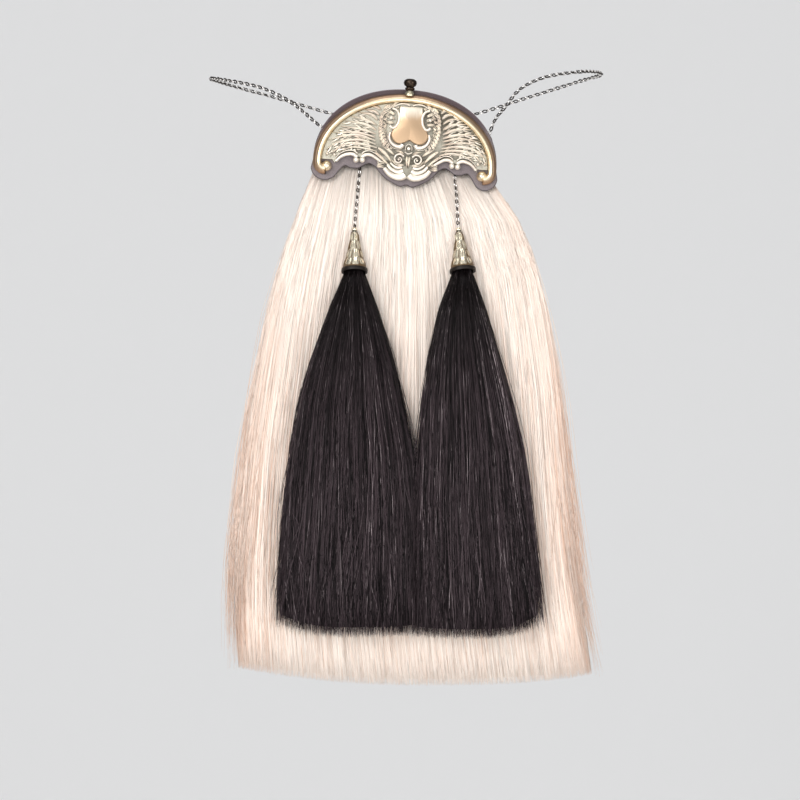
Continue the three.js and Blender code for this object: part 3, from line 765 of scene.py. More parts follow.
def eased(points, steps):
    """Points along a smooth curve through a few given ones, free of loops where they are uneven."""
    points = np.asarray(points, float)
    if len(points) < 3:
        share = np.linspace(0, 1, 3 * steps)[:, None]
        return points[0] + (points[-1] - points[0]) * share
    ends = np.vstack([2 * points[0] - points[1], points, 2 * points[-1] - points[-2]])
    out = []
    for p in (ends[i : i + 4] for i in range(len(ends) - 3)):
        knot = np.concatenate([[0], np.cumsum(np.sqrt(np.linalg.norm(np.diff(p, axis=0), axis=1)) + 1e-9)])
        t = np.linspace(knot[1], knot[2], steps, endpoint=False)[:, None]
        a = [
            ((knot[i + 1] - t) * p[i] + (t - knot[i]) * p[i + 1]) / (knot[i + 1] - knot[i])
            for i in range(3)
        ]
        b = [
            ((knot[i + 2] - t) * a[i] + (t - knot[i]) * a[i + 1]) / (knot[i + 2] - knot[i])
            for i in range(2)
        ]
        out.append(((knot[2] - t) * b[0] + (t - knot[1]) * b[1]) / (knot[2] - knot[1]))
    return np.vstack([*out, points[-1:]])


def note_hollows(piece, reach, rays, rng, name="hollow"):
    """Marks how shut in each point is: the share of directions in which metal lies within reach."""
    mesh = piece.data
    count = len(mesh.vertices)
    places = np.empty(count * 3, np.float32)
    mesh.vertices.foreach_get("co", places)
    normals = np.empty(count * 3, np.float32)
    mesh.vertices.foreach_get("normal", normals)
    places, normals = places.reshape(-1, 3), normals.reshape(-1, 3)
    deselect()
    tree = BVHTree.FromPolygons(places.tolist(), [tuple(face.vertices) for face in mesh.polygons])
    around = rng.normal(size=(rays, 3))
    around /= np.linalg.norm(around, axis=1, keepdims=True)
    shut = np.zeros(count)
    for direction in around:
        aim = normals * 1.05 + direction
        aim /= np.linalg.norm(aim, axis=1, keepdims=True) + 1e-9
        starts = places + normals * 0.05 * MM
        for i in range(count):
            if tree.ray_cast(Vector(starts[i]), Vector(aim[i]), reach)[0] is not None:
                shut[i] += 1
    mark(piece, name, shut / rays)


def flat_piece(name, outline, back, front, material, inset=(), bevel=0.0):
    """A flat sheet cut to an outline of across and down, with rounded edges and rings near its border."""
    points = upright(outline[:, 0], outline[:, 1], np.full(len(outline), back))
    mesh = bpy.data.meshes.new(name)
    mesh.from_pydata(points.tolist(), [], [list(range(len(points)))])
    mesh.materials.append(material)
    sheet = bpy.data.objects.new(name, mesh)
    bpy.context.scene.collection.objects.link(sheet)
    choose(sheet)
    bpy.ops.object.mode_set(mode="EDIT")
    bpy.ops.mesh.select_all(action="SELECT")
    move = {"value": (0, -(front - back) * MM, 0)}
    bpy.ops.mesh.extrude_region_move(TRANSFORM_OT_translate=move)
    for width in inset:
        bpy.ops.mesh.inset(thickness=width * MM, use_boundary=True)
    bpy.ops.mesh.select_all(action="SELECT")
    bpy.ops.mesh.normals_make_consistent(inside=False)
    bpy.ops.object.mode_set(mode="OBJECT")
    if bevel:
        rounding = sheet.modifiers.new("rounding", "BEVEL")
        rounding.width = bevel * MM
        rounding.segments = 3
        rounding.limit_method = "ANGLE"
        rounding.angle_limit = math.radians(50)
        bpy.ops.object.modifier_apply(modifier="rounding")
    bpy.ops.object.shade_smooth_by_angle(angle=math.radians(40))
    return sheet


def finer(name, node, material, width, segments=2, smooth=35):
    """A copy of a CAD node with merged faces and rounded edges."""
    copy = NODES[node].copy()
    copy.data = NODES[node].data.copy()
    copy.name = name
    copy.data.name = name
    copy.animation_data_clear()
    bpy.context.scene.collection.objects.link(copy)
    copy.parent = None
    copy.matrix_world = Matrix.Identity(4)
    for key in list(copy.keys()):
        del copy[key]
    choose(copy)
    bpy.ops.object.mode_set(mode="EDIT")
    bpy.ops.mesh.select_all(action="SELECT")
    bpy.ops.mesh.remove_doubles(threshold=0.00002)
    bpy.ops.mesh.dissolve_limited(angle_limit=math.radians(1.5))
    bpy.ops.object.mode_set(mode="OBJECT")
    if width:
        rounding = copy.modifiers.new("rounding", "BEVEL")
        rounding.width = width * MM
        rounding.segments = segments
        rounding.limit_method = "ANGLE"
        rounding.angle_limit = math.radians(45)
        bpy.ops.object.modifier_apply(modifier="rounding")
    copy.data.materials.clear()
    copy.data.materials.append(material)
    bpy.ops.object.shade_smooth_by_angle(angle=math.radians(smooth))
    return copy


# ---------------------------------------------------------------- cantle

# Right half of each lower edge from the middle outwards, across and down. The pattern's middle line
# lies a little to the right of the arch's, and the shift fades out towards the arch's ends.
PATTERN_SHIFT = 2.4
PLATE_EDGE = [
    (0, 69.2), (3.5, 70.8), (8, 70.8), (12.5, 67.8), (16.5, 63.2), (21.5, 60.3), (24, 55), (31, 51.2),
    (36, 54), (39.5, 58), (43, 54), (48, 51.2), (53.5, 54.5), (58, 60.2),
]
PLATE_CORNER = [(59.4, 57.4), (63.6, 57.6)]
BACKING_EDGE = [
    (0, 74), (4.5, 75.6), (10.5, 73.5), (17.5, 69.7), (22, 65.5), (26.5, 60.5), (31, 58.5), (35.5, 60.5),
    (39.5, 63), (45.5, 62.9), (50, 61.6), (54, 65.5), (59, 72), (66, 74.4), (73, 71.5), (76.2, 66),
    (75.4, 60),
]
BACKING_ARCH = {"half": 75.1, "rise": 61.8, "square": 2.16}
SHIELD_EDGE = [
    (0, 10.6), (9.1, 10.8), (9.6, 16), (10.5, 21), (12.4, 27), (15.1, 34), (12.5, 39.6), (8, 41.2),
    (3.5, 40), (0, 37.9),
]


def shifted(points, side):
    points = np.asarray(points, float)
    fade = np.clip(1 - (points[:, 0] / HALF) ** 2, 0, 1)
    return np.column_stack([side * points[:, 0] + PATTERN_SHIFT * fade, points[:, 1]])


def arched(edge, corner, half_x, half_z, top, square=2.0, steps=90):
    """Outline through both halves of a lower edge, closed by an arch that may be fuller than an ellipse."""
    left = shifted(edge[1:], -1)[::-1]
    lower = eased(np.vstack([left, shifted(edge, 1)]), 6)
    angle = np.linspace(0, np.pi, steps)
    across, up = np.cos(angle), np.sin(angle)
    over = np.column_stack(
        [half_x * np.sign(across) * np.abs(across) ** (2 / square), top - half_z * up ** (2 / square)]
    )
    corner = np.asarray(corner, float).reshape(-1, 2)
    return np.vstack([lower, corner, over, corner[::-1] * (-1, 1)])


def without_repeats(outline):
    gap = np.linalg.norm(outline - np.roll(outline, 1, axis=0), axis=1)
    return outline[gap > 0.05]


def cantle_backing(hide):
    bow = BACKING_ARCH
    outline = without_repeats(arched(BACKING_EDGE, [], bow["half"], bow["rise"], RISE, bow["square"]))
    front = BACKING_BACK + BACKING_THICK
    sheet = flat_piece("cantle_backing_hide", outline, BACKING_BACK, front, hide, (0.35, 0.55), 0.4)
    places = np.array([tuple(v.co) for v in sheet.data.vertices]) / MM
    border = np.vstack([outline, outline[:1]])
    flat = np.column_stack([places[:, 0], CROWN - places[:, 2]])
    away = np.min(np.linalg.norm(flat[:, None] - border[None], axis=2), axis=1)
    mark(sheet, "edge", np.clip(1.25 - away / 0.62, 0, 1))
    lean(sheet)
    settle(sheet, "leather", "cantle_backing")


# Half of the rim's section is a bead, and the other half slopes down outside it: out and proud.
RIM_SECTION = [
    (3.5, 0), (3.5, 1.6), (2.9, 3.4), (1.6, 4.9), (0.55, 5.45), (0.0, 6.1), (-1.2, 6.6), (-2.4, 6.2),
    (-3.3, 4.8), (-3.5, 2.8), (-3.5, 0),
]


def cantle_rim(brass):
    """The rolled rim: one section swept round a volute, over the arch and round the other volute."""
    profile = eased(RIM_SECTION, 3)
    middle = RIM / 2
    turn = math.radians(VOLUTE_ARC["turn"])
    curl = np.linspace(-turn, 0, 22)
    arc_x, arc_down, arc_radius = VOLUTE_ARC["x"], VOLUTE_ARC["down"], VOLUTE_ARC["radius"]
    start = np.column_stack([arc_x + arc_radius * np.cos(curl), arc_down - arc_radius * np.sin(curl)])
    over = np.linspace(0, np.pi, 150)
    crown = np.column_stack([(HALF - middle) * np.cos(over), RISE - (RISE - middle) * np.sin(over)])
    line = np.vstack([start, crown, start[::-1] * (-1, 1)])
    ahead = np.gradient(line, axis=0)
    ahead /= np.linalg.norm(ahead, axis=1, keepdims=True)
    outward = np.column_stack([-ahead[:, 1], ahead[:, 0]])
    centre = np.array([0, RISE])
    outward *= np.sign(np.sum(outward * (line - centre), axis=1, keepdims=True))
    sides = len(profile)
    flat = line[:, None] + outward[:, None] * profile[None, :, :1]
    depth = np.broadcast_to(PLATE_BACK + profile[:, 1], flat.shape[:2])
    points = upright(flat[..., 0], flat[..., 1], depth).reshape(-1, 3)
    faces = loft_faces(len(line), sides)
    rim = piece_from("cantle_rim_roll", points, faces, brass)
    # flank marks the outer slope, which rolled_brass colours brown as a painted reflection.
    lay = np.clip((profile[:, 0] - 0.2) / 0.6, 0, 1)
    mark(rim, "flank", np.tile(lay, len(line)))
    close_ends(rim)
    balls = Carving()
    balls.beads(VOLUTE_BALL["x"], VOLUTE_BALL["down"], VOLUTE_BALL["radius"], 1.0, 5.6, 9, 28)
    ends = balls.piece("cantle_rim_balls", brass, PLATE_BACK)
    lean(rim)
    lean(ends)
    settle(rim, "rim_brass", "cantle_rim")
    settle(ends, "rim_brass")


def domed_shield(brass):
    """The blank shield: a rounded border and a crowned field."""
    right = np.array(SHIELD_EDGE, float)
    top = right[:2]
    side = eased(right[1:], 7)
    half = np.vstack([top[:1], top[:1] + (top[1] - top[0]) * 0.5, side])
    outline = np.vstack([half, half[1:-1][::-1] * (-1, 1)])
    heart = np.array([0.0, 25.0])
    rings = []
    for scale, height in [(1, 0), (1, 0.7), (0.99, 1.1), (0.97, 1.45)]:
        rings.append((scale, height))
    for scale in np.linspace(0.94, 0.04, 14):
        rings.append((scale, 1.45 + 1.3 * (1 - scale**2)))
    flat = np.array([heart + (outline - heart) * scale for scale, _ in rings])
    depth = np.array([np.full(len(outline), SHIELD_BACK + height) for _, height in rings])
    points = upright(flat[..., 0] + PATTERN_SHIFT, flat[..., 1], depth).reshape(-1, 3)
    shield = piece_from("shield_field", points, loft_faces(len(rings), len(outline)), brass)
    close_ends(shield)
    lean(shield)
    settle(shield, "satin_brass", "shield")


# Long leaves from the wreath to the rim, from the top down: root, bend or bends, and tip.
FAN = [
    [(24.5, 14.6), (28, 12.6), (31.8, 13.0)],
    [(25.5, 18.8), (30, 15.4), (37.0, 15.4)],
    [(26.5, 23.0), (32, 18.6), (41.5, 18.2)],
    [(27.0, 27.4), (34.5, 23.2), (46.5, 21.8)],
    [(27.2, 31.2), (37, 27.0), (51.0, 25.8)],
    [(27.4, 34.4), (40, 31.0), (55.0, 30.2)],
    [(27.4, 37.2), (42, 34.2), (59.0, 35.6)],
    [(27.2, 40.0), (42, 37.0), (54, 37.8), (62.4, 41.6)],
    [(26.8, 42.8), (40, 40.2), (52, 41.2), (61, 46.0), (64.6, 49.6)],
    [(25.6, 45.6), (38, 43.2), (49, 44.4), (57.5, 49.2), (61.6, 54.6)],
    [(25.5, 48.6), (36, 46.2), (46, 47.2), (53.5, 50.8)],
]
BERRIES = [
    (43.2, 48.9, 1.4), (45.6, 48.0, 1.0), (58.6, 53.6, 1.3), (60.8, 51.2, 1.1), (64.2, 53.2, 1.1),
    (34.5, 47.6, 0.9),
]


def fan(work, side, rng):
    """Long acanthus leaves that spread from the wreath to the rim, barbed on both sides, and berries."""
    flip = np.array([side, 1])
    for line in FAN:
        line = np.array(line, float)
        line[1:-1] += rng.normal(0, 0.5, line[1:-1].shape)
        line[-1] += (line[-1] - line[-2]) * 0.2
        path = eased(line, 8)
        length = np.concatenate([[0], np.cumsum(np.linalg.norm(np.diff(path, axis=0), axis=1))])
        place = rng.uniform(2.5, 5)
        while place < length[-1] - 1.0:
            index = int(np.searchsorted(length, place))
            ahead = path[min(index + 1, len(path) - 1)] - path[index - 1]
            ahead /= np.linalg.norm(ahead)
            off = np.array([-ahead[1], ahead[0]])
            for hand in (-1, 1):
                reach = rng.uniform(5.6, 9.4)
                start = path[index] + off * hand * 0.4 + ahead * rng.uniform(-0.8, 0.8)
                end = start + ahead * reach + off * hand * rng.uniform(1.1, 2.3)
                bend = (start + end) / 2 + off * hand * rng.uniform(0.2, 0.6)
                if inside_plate(end):
                    barb = np.array([start, bend, end]) * flip
                    work.leaf(barb, rng.uniform(1.7, 2.6), 0.1, rng.uniform(1.0, 1.9), 0.4, work.RIDGE)
            place += rng.uniform(5.2, 8.0)
        work.leaf(line * flip, rng.uniform(2.4, 3.2), 0.4, rng.uniform(2.5, 3.2), 0.5, work.RIDGE)
    for across, down, radius in BERRIES:
        work.bead(side * across, down, radius, 0.9, 1.9)


def inside_plate(point):
    """True on the cast ground between the arch and the paired scrolls."""
    half, rise = HALF - RIM + 0.4, RISE - RIM + 0.4
    over = (point[0] / half) ** 2 + ((RISE - point[1]) / rise) ** 2 < 1
    return over and point[1] < 50.5 + 0.1 * max(point[0] - 40, 0) ** 1.2


def wreath(work, rng):
    """Overlapping leaflets round the shield."""
    for step in np.linspace(-66, 60, 15):
        angle = math.radians(step)
        across = 22.6 * math.cos(angle) ** 0.5
        down = 26.5 + 19.0 * math.sin(angle)
        aim = np.array([-4.0, -5.0]) if step > -35 else np.array([-5.8, -2.6])
        start = np.array([across + 2.2, down + 2.9]) + rng.normal(0, 0.15, 2)
        bend = start + aim * 0.5 + np.array([0.9, -0.6])
        work.both("leaf", [start, bend, start + aim], 3.3, 0.8, 2.3)
        inner = start + np.array([-2.8, 0.4])
        work.both("leaf", [inner, inner + aim * 0.4, inner + aim * 0.75], 2.4, 0.5, 1.8)


def shield_scrolls(work):
    """C scrolls that bite into the shield's sides, with leaf lobes inside them, and its cradle."""
    bite = [(15.2, 12.8), (11.8, 14.2), (9.7, 17.6), (9.4, 21.6), (10.6, 26), (13.6, 28.9), (16.6, 27.2)]
    work.both("roll", bite, 1.9, 2.6, 2.4, 2.1)
    for line in [
        [(13.2, 17.8), (16.5, 15.8), (20, 15.2)],
        [(12.8, 21.2), (16.5, 20), (20.8, 19.6)],
        [(13.4, 24.9), (17, 24.2), (20.6, 24.4)],
    ]:
        work.both("leaf", line, 2.9, 1.0, 2.3)
    work.beads(16.0, 20.6, 1.5, 1.6, 1.9)
    cradle = [(15.8, 32.4), (16.4, 36.6), (14.2, 40.9), (10.2, 43.3), (6.4, 43.4), (5.2, 41.6)]
    work.both("roll", cradle, 2.0, 4.2, 1.2, 2.6)
    below = [(17.9, 34.5), (17.6, 39.4), (14.4, 43.8), (9.4, 45.6), (5.4, 44.9)]
    work.both("roll", below, 0.7, 0.9, 0.8, 1.7)
    work.both("roll", [(13.8, 11.2), (9.6, 8.9), (5, 8.5), (1.2, 9.6)], 1.1, 1.7, 1.2, 1.7)
    work.both("leaf", [(16.4, 11.8), (14, 8.8), (9.4, 7.4)], 1.9, 0.8, 1.5)
    work.both("leaf", [(22.4, 14.2), (19.2, 11.2), (15.2, 9.8)], 2.4, 0.8, 1.7)


def lower_scrolls(work):
    """The middle below the shield: an eye, two volutes, leaf bands and the double shell at the foot."""
    work.bead(0, 44.6, 1.5, 1.8, 0.8)
    work.roll([(-2.6, 46.2), (-2.4, 42.9), (0, 41.2), (2.4, 42.9), (2.6, 46.2)], 1.0, 1.0, 1.2, 1.9)
    work.roll([(-3.0, 47.6), (0, 49.0), (3.0, 47.6)], 1.2, 1.2, 1.0, 1.6)
    curl = np.linspace(0, 1, 12)
    angle = np.radians(-150 + 420 * curl)
    reach = 4.6 * (1 - 0.72 * curl)
    volute = np.column_stack([7.4 + reach * np.cos(angle), 53.8 + reach * np.sin(angle)])
    work.both("roll", volute, 1.9, 1.2, 1.4, 2.1)
    work.beads(7.5, 54.0, 1.15, 1.6, 2.0)
    work.both("leaf", [(1.0, 51.0), (0.9, 55.5), (0.3, 60.5)], 2.1, 0.8, 1.6)
    for start, bend, end, width in [
        ((21.5, 42.5), (15.5, 47.0), (10.8, 51.0), 3.0),
        ((24.5, 45.5), (18.0, 50.5), (12.4, 57.5), 3.0),
        ((27.4, 49.0), (20.4, 54.4), (13.6, 61.0), 2.6),
    ]:
        work.both("leaf", [start, bend, end], width, 0.7, 1.8)
    for line in [[(3.0, 58.4), (9.6, 57.4), (15.4, 52.4)], [(3.4, 50.4), (6.6, 47.6), (11.8, 46.6)]]:
        work.both("leaf", line, 2.6, 0.3, 1.4)
    shell = [(16.6, 58.4), (13.8, 61.6), (10.4, 63.6), (6.8, 64.2), (3.4, 62.8)]
    work.both("roll", shell, 2.6, 3.8, 0.4, 1.6)
    work.both("roll", [(14.0, 57.0), (11.2, 59.4), (8.0, 60.6), (4.6, 60.0)], 1.8, 2.8, 0.3, 1.3)
    foot = [(18.6, 61.6), (15.6, 65.0), (11.6, 67.4), (7.4, 68.3), (4.0, 67.8), (1.9, 66.0)]
    work.both("roll", foot, 3.4, 6.2, 0.5, 2.5)


def edge_scrolls(work):
    """C scrolls in pairs along each lower edge, with the leaf knobs beside the foot."""
    outer = np.array([(57.3, 58.8), (53.8, 55.0), (49.2, 52.6), (44.1, 52.2), (40.7, 54.4)])
    inner = np.array([(21.8, 56.9), (26.3, 53.7), (30.4, 51.8), (34.4, 52.0), (37.2, 54.1)])
    for line, ball in ((outer, (41.5, 56.6)), (inner, (36.6, 56.2))):
        work.both("roll", line, 2.4, 3.4, 0.5, 2.8)
        work.both("roll", line + [0, -3.0], 1.0, 1.5, 0.5, 2.0)
        work.beads(*ball, 2.4, 0.4, 3.2, 6, 18)
    for line in [[(24.6, 57.8), (20.8, 57.4), (17.2, 58.8)], [(24.9, 60.0), (21.4, 60.2), (17.4, 61.4)]]:
        work.both("leaf", line, 3.4, 0.4, 2.6, tip=0.9)


def cantle_plate(relief):
    """The cast plate: its ground, and the carved work on it."""
    inset = RIM + 0.3
    outline = without_repeats(
        arched(PLATE_EDGE, PLATE_CORNER, HALF - inset, RISE - inset - 0.5, RISE - 0.5)
    )
    front = PLATE_BACK + PLATE_GROUND
    ground = flat_piece("cantle_plate_ground", outline, PLATE_BACK, front, relief, (0.5,), 0.4)
    rng = np.random.default_rng(SEED + 5)
    work = Carving()
    for side in (-1, 1):
        fan(work, side, rng)
    wreath(work, rng)
    shield_scrolls(work)
    lower_scrolls(work)
    edge_scrolls(work)
    raised = work.piece("cantle_plate_relief", relief, PLATE_BACK + 2.2, PATTERN_SHIFT)
    choose(ground)
    raised.select_set(True)
    bpy.context.view_layer.objects.active = raised
    bpy.ops.object.join()
    raised.name = "cantle_plate_relief"
    note_hollows(raised, 2.2 * MM, 18, rng)
    height = np.array([-v.co.y for v in raised.data.vertices]) / MM - PLATE_BACK - 2.2
    mark(raised, "crest", np.clip(height / 1.8, 0, 1))
    lean(raised)
    settle(raised, "relief", "cantle_plate")


# ---------------------------------------------------------------- chains


def chain(name, path, pitch, size, wire, material, slot, node, rng):
    """Interlocked oval links along a path of points; each second link is turned a quarter."""
    step = np.linalg.norm(np.diff(path, axis=0), axis=1)
    length = np.concatenate([[0], np.cumsum(step)])
    count = int(length[-1] / pitch)
    stations = (np.arange(count) + 0.5) * length[-1] / count
    centres = np.stack([np.interp(stations, length, path[:, axis]) for axis in range(3)], -1)
    tangents = np.gradient(centres, axis=0)
    tangents /= np.linalg.norm(tangents, axis=1, keepdims=True)
    reference = np.array([0.0, -1.0, 0.0])
    side = np.cross(tangents, reference)
    side /= np.linalg.norm(side, axis=1, keepdims=True)
    front = np.cross(side, tangents)
    around = np.linspace(0, 2 * np.pi, 12, endpoint=False)
    # Every second link is painted dark as painted shade, with a little random tone on each.
    tones = (np.arange(count) % 2) * 0.75 + rng.random(count) * 0.3
    tube = np.linspace(0, 2 * np.pi, 5, endpoint=False)
    long, wide = size[0] / 2 - wire / 2, size[1] / 2 - wire / 2
    oval = np.stack([long * np.cos(around), wide * np.sin(around)], -1)
    rim = np.stack([np.cos(around) / long, np.sin(around) / wide], -1)
    rim /= np.linalg.norm(rim, axis=1, keepdims=True)
    flat = oval[:, None] + rim[:, None] * (wire / 2 * np.cos(tube))[None, :, None]
    lift = np.broadcast_to(wire / 2 * np.sin(tube), flat.shape[:2])
    points = []
    for i in range(count):
        turn = (math.pi / 4 if i % 2 else -math.pi / 4) + rng.normal(0, 0.16)
        across = side[i] * math.cos(turn) + front[i] * math.sin(turn)
        out = np.cross(tangents[i], across)
        points.append(
            centres[i] + flat[..., :1] * tangents[i] + flat[..., 1:] * across + lift[..., None] * out
        )
    points = np.array(points).reshape(-1, 3)
    major, minor = np.meshgrid(np.arange(12), np.arange(5), indexing="ij")
    a, b = (major * 5 + minor).ravel(), (major * 5 + (minor + 1) % 5).ravel()
    c, d = ((major + 1) % 12 * 5 + (minor + 1) % 5).ravel(), ((major + 1) % 12 * 5 + minor).ravel()
    one = np.stack([a, d, c, b], -1)
    faces = (one[None] + np.arange(count)[:, None, None] * 60).reshape(-1, 4)
    links = piece_from(name, points, faces, material)
    mark(links, "tone", np.repeat(tones, 60))
    settle(links, slot, node)


WAIST = {"half_x": 170, "half_y": 128, "middle": 130}
BELT_LEADS = {
    "left": [(-69.4, -10.5, 2.6), (-75.5, -5, 7.6), (-83.5, 5, 15.4), (-97, 20.5, 27)],
    "right": [(67.8, -10.5, -4.0), (73, -6, 9), (82, 5, 21), (94, 19, 36.4)],
}
BELT_STATIONS = {
    "left": [(45, 40), (65, 51), (90, 58), (115, 58), (140, 50), (160, 38), (175.4, 34)],
    "right": [(42, 48), (62, 57.5), (90, 62), (115, 62), (140, 52), (160, 38.5), (175.4, 34)],
}
TASSEL_CHAINS = {
    "left": {"top": (-37.8, -27.5), "tip": -42.3},
    "right": {"top": (39.4, -32.5), "tip": 42.2},
}


def belt_chain(hand, side, silver):
    rng = np.random.default_rng(SEED + 7)
    route = list(BELT_LEADS[hand])
    for turn, height in BELT_STATIONS[hand]:
        angle = math.radians(turn)
        x = side * WAIST["half_x"] * math.sin(angle)
        route.append((x, WAIST["middle"] - WAIST["half_y"] * math.cos(angle), height))
    path = eased(route, 24) * MM
    node, size = f"belt_chain_{hand}", (5.6 * MM, 4.0 * MM)
    chain(f"{node}_links", path, 3.9 * MM, size, 1.15 * MM, silver, "chain_silver", node, rng)


def tassel_chain(hand, silver):
    rng = np.random.default_rng(SEED + 9)
    ends = TASSEL_CHAINS[hand]
    top_x, top_z = ends["top"]
    stations = [
        (0, -19.9, top_z), (0.2, -20, top_z - 12), (0.45, -22.8, -52), (0.75, -25.9, -67), (1, -28, -81.5),
    ]
    route = [(top_x + share * (ends["tip"] - top_x), y, z) for share, y, z in stations]
    path = eased(route, 24) * MM
    node, size = f"tassel_chain_{hand}", (4.2 * MM, 3.2 * MM)
    chain(f"{node}_links", path, 2.9 * MM, size, 0.95 * MM, silver, "chain_silver", node, rng)


# ---------------------------------------------------------------- cones

CONE_TIP = {"z": -81, "depth": 28.2}
CONE_BASE = {"z": -118, "depth": 37.2}
CONES = {"left": (-42.3, -42.1), "right": (42.2, 45.9)}
CONE_OUTSIDE = [
    (0.02, 0), (1.7, 0.5), (2.3, 2), (1.9, 3.5), (2.6, 4.1), (3.1, 9), (5.1, 18.7), (7.4, 28), (9.2, 33.6),
    (9.6, 34.6), (10.5, 35.1), (10.75, 36.4), (10.6, 38), (8.9, 38), (7.4, 30), (0.02, 30),
]
# Rows of embossed leaves: where each starts and ends along the cone, its leaves, and its turn.
CONE_LEAVES = [(5, 13, 5, 0.0), (11, 21, 5, 0.7), (18.5, 29, 6, 0.2), (26.5, 34, 8, 0.5)]


def tassel_cone(hand, metal):
    """A turned cone with rows of embossed leaves, a collar, and a rolled lip."""
    tip_x, base_x = CONES[hand]
    tip = np.array([tip_x, -CONE_TIP["depth"], CONE_TIP["z"]])
    axis = np.array([base_x, -CONE_BASE["depth"], CONE_BASE["z"]]) - tip
    axis /= np.linalg.norm(axis)
    first = np.cross(axis, [0, -1, 0])
    first /= np.linalg.norm(first)
    second = np.cross(axis, first)
    fine = eased(CONE_OUTSIDE[:13], 8)
    inner = np.array(CONE_OUTSIDE[13:])
    rows = np.vstack([fine, inner])
    sides = 96
    angle = np.linspace(0, 2 * np.pi, sides, endpoint=False)
    rise = np.zeros((len(rows), sides))
    for low, high, leaves, phase in CONE_LEAVES:
        share = (rows[:, 1] - low) / (high - low)
        body = np.clip(np.sin(np.pi * np.clip(share, 0, 1)), 0, 1) ** 0.7
        petal = np.abs(np.sin((angle + phase) * leaves / 2))[None, :] ** 0.6
        vein = 1 - 0.5 * np.exp(-((np.cos((angle + phase) * leaves / 2)[None, :]) ** 2) / 0.02)
        shape = body[:, None] * (petal * vein - 0.25 * share[:, None].clip(0, 1))
        rise = np.maximum(rise, shape * 1.05)
    rise[len(fine):] = 0
    radius = rows[:, :1] + np.where(rows[:, 1:] > 4.2, rise, 0)
    ring = np.cos(angle)[None, :, None] * first + np.sin(angle)[None, :, None] * second
    points = tip + axis * rows[:, 1, None, None] + ring * radius[:, :, None]
    points = points.reshape(-1, 3) * MM
    cone = piece_from(f"tassel_cone_{hand}_embossed", points, loft_faces(len(rows), sides), metal)
    depth = np.where(rise > 0, 1 - rise / 1.05, 0.75 * ((rows[:, 1] > 4.2) & (rows[:, 1] < 34))[:, None])
    # Painted shade: the hollow mark also rises towards the cone's left and right sides.
    depth += 0.65 * np.abs(np.cos(angle)) ** 3
    depth[len(fine):] = 0.9
    mark(cone, "hollow", np.clip(depth, 0, 1).ravel())
    along = rows[:, 1]
    # lip marks the rolled lip and the collar groove, which cone_metal paints near black as painted shade.
    lip = ((along > 34.9) | ((along > 2.6) & (along < 4.2))).astype(float)
    mark(cone, "lip", np.repeat(lip, sides))
    close_ends(cone)
    bpy.ops.object.shade_smooth_by_angle(angle=math.radians(50))
    settle(cone, "cone_metal", f"tassel_cone_{hand}")


# ---------------------------------------------------------------- small metal and the bag


def small_metal(brass, silver):
    knob = finer("top_stud_knob", "top_stud", brass, 0.25, 2, 50)
    places = np.array([v.co.z for v in knob.data.vertices]) / MM
    # Painted highlight: the stud's base is marked to be coloured bright under its painted dark knob.
    mark(knob, "rub", np.clip((31.5 - places) / 3.0, 0, 1))
    settle(knob, "dark_metal", "top_stud")
    for hand in ("left", "right"):
        ring = finer(f"belt_ring_{hand}_eye", f"belt_ring_{hand}", silver, 0, 2, 60)
        settle(ring, "chain_silver", f"belt_ring_{hand}")
    settle(finer("belt_clasp_plate", "belt_clasp", silver, 1.2, 4), "chain_silver", "belt_clasp")


def stitches(name, material, inset, length, pitch):
    """A row of short stitches round the bag's flat back, each a small spindle."""
    bag = NODES["pouch"]
    places = np.array([tuple(bag.matrix_world @ corner.co) for corner in bag.data.vertices]) / MM
    rear = places[:, 1].max()
    rim = places[places[:, 1] > rear - 0.2][:, [0, 2]]
    middle = (rim.min(0) + rim.max(0)) / 2
    spread = rim - middle
    rim = rim[np.argsort(np.arctan2(spread[:, 1], spread[:, 0]))]
    outward = (rim - middle) / np.linalg.norm(rim - middle, axis=1, keepdims=True)
    line = without_repeats(rim - inset * outward)
    line = np.vstack([line, line[:1]])
    run = np.concatenate([[0], np.cumsum(np.linalg.norm(np.diff(line, axis=0), axis=1))])
    turns = np.linspace(0, 2 * np.pi, 6, endpoint=False)
    points, faces = [], []
    for k, start in enumerate(np.arange(0, run[-1] - pitch / 2, pitch)):
        ends = np.column_stack([np.interp([start, start + length], run, line[:, i]) for i in (0, 1)])
        ahead = (ends[1] - ends[0]) / np.linalg.norm(ends[1] - ends[0])
        off = np.array([-ahead[1], ahead[0]])
        for share, radius in ((0, 0.12), (0.25, 0.42), (0.75, 0.42), (1, 0.12)):
            flat = ends[0] + (ends[1] - ends[0]) * share + off * (radius * np.cos(turns))[:, None]
            sunk = rear + 0.05 + 0.7 * radius * np.sin(turns)
            points.append(np.column_stack([flat[:, 0], sunk, flat[:, 1]]))
        faces.append(loft_faces(4, 6) + 24 * k)
    row = piece_from(name, np.concatenate(points) * MM, np.concatenate(faces), material)
    close_ends(row)
    settle(row, "leather")


def waxed_thread():
    board = Board("waxed_thread")
    twist = board.noise(3.0, 2)
    colour = board.mix(twist.step(0.35, 0.65), (0.30, 0.25, 0.22), (0.44, 0.38, 0.34))
    return board.finish(Base_Color=colour, Roughness=0.6, Specular_IOR_Level=0.3)


def pouch(hide):
    bag = finer("pouch_bag", "pouch", hide, 1.4, 3, 40)
    mark(bag, "edge", np.zeros(len(bag.data.vertices)))
    settle(bag, "leather", "pouch")
    stitches("pouch_stitches", waxed_thread(), 4.5, 2.7, 4.0)


# ---------------------------------------------------------------- studio


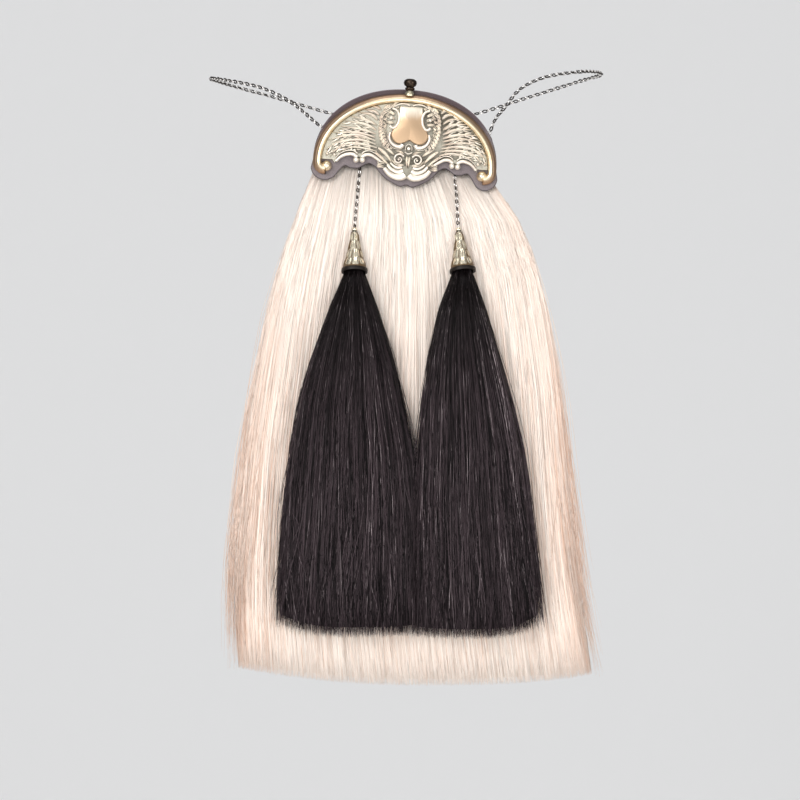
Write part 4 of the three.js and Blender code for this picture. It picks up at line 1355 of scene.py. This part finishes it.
def room_light():
    """A bright room in front of the part and a darker one beside and behind it."""
    world = bpy.data.worlds.new("room")
    world.use_nodes = True
    tree = world.node_tree
    place = tree.nodes.new("ShaderNodeTexCoord")
    parts = tree.nodes.new("ShaderNodeSeparateXYZ")
    share = tree.nodes.new("ShaderNodeMapRange")
    share.interpolation_type = "SMOOTHSTEP"
    for name, value in (("From Min", 0.1), ("From Max", -0.75), ("To Min", 0.17), ("To Max", 0.66)):
        share.inputs[name].default_value = value
    background = tree.nodes["Background"]
    background.inputs["Color"].default_value = (0.98, 0.985, 1.0, 1)
    tree.links.new(place.outputs["Generated"], parts.inputs[0])
    tree.links.new(parts.outputs["Y"], share.inputs["Value"])
    tree.links.new(share.outputs[0], background.inputs["Strength"])
    bpy.context.scene.world = world


def studio():
    """A pale floor that sweeps up behind the hanging part, and soft lights."""
    board = Board("pale_paper")
    grey, white = (0.73, 0.73, 0.73), (1.0, 1.0, 1.0)
    paper = board.finish(Base_Color=grey, Roughness=0.9, Emission_Color=white, Emission_Strength=0.148)
    bend = [(3.5, -1.4), (-3.1, -1.4)]
    for turn in np.linspace(0, math.pi / 2, 12):
        bend.append((-3.15 - 0.3 * math.sin(turn), -1.4 + 0.3 * (1 - math.cos(turn))))
    bend.append((-3.45, 4.2))
    points = [(x, -y, z) for y, z in bend for x in (-5, 5)]
    faces = [(2 * i, 2 * i + 1, 2 * i + 3, 2 * i + 2) for i in range(len(bend) - 1)]
    sweep = piece_from("paper_sweep", points, faces, paper)
    lights = [
        ("key", (-1.3, -2.5, 0.75), 1.5, 39),
        ("fill", (1.8, -2.4, -0.1), 1.6, 20),
        ("low", (-0.2, -2.2, -0.95), 1.2, 14),
        ("top", (0.0, -0.5, 1.9), 1.2, 8),
    ]
    for name, place, size, power in lights:
        data = bpy.data.lights.new(name, "AREA")
        data.size = size
        data.energy = power
        lamp = bpy.data.objects.new(name, data)
        bpy.context.scene.collection.objects.link(lamp)
        lamp.location = place
        lamp.visible_camera = False
        aim = Vector((0, 0.0, -0.22)) - Vector(place)
        lamp.rotation_euler = aim.to_track_quat("-Z", "Y").to_euler()
    room_light()
    bpy.context.scene.view_settings.view_transform = "Standard"


# ---------------------------------------------------------------- assembly

deselect()
hide = leather()
cantle_backing(hide)
brass = rim_brass()
cantle_rim(brass)
domed_shield(satin_brass())
cantle_plate(cast_relief())
silver = silver_tarnish_and_painted_link_shade()
small_metal(dark_brass(), silver)
pouch(hide)
for hand, side in (("left", -1), ("right", 1)):
    belt_chain(hand, side, silver)
    tassel_chain(hand, silver)
cone = cone_metal()
black, black_deep = black_strands(), black_mass()
for hand in ("left", "right"):
    tassel_cone(hand, cone)
    tassel(hand, black, black_deep)
cream_front()
studio()
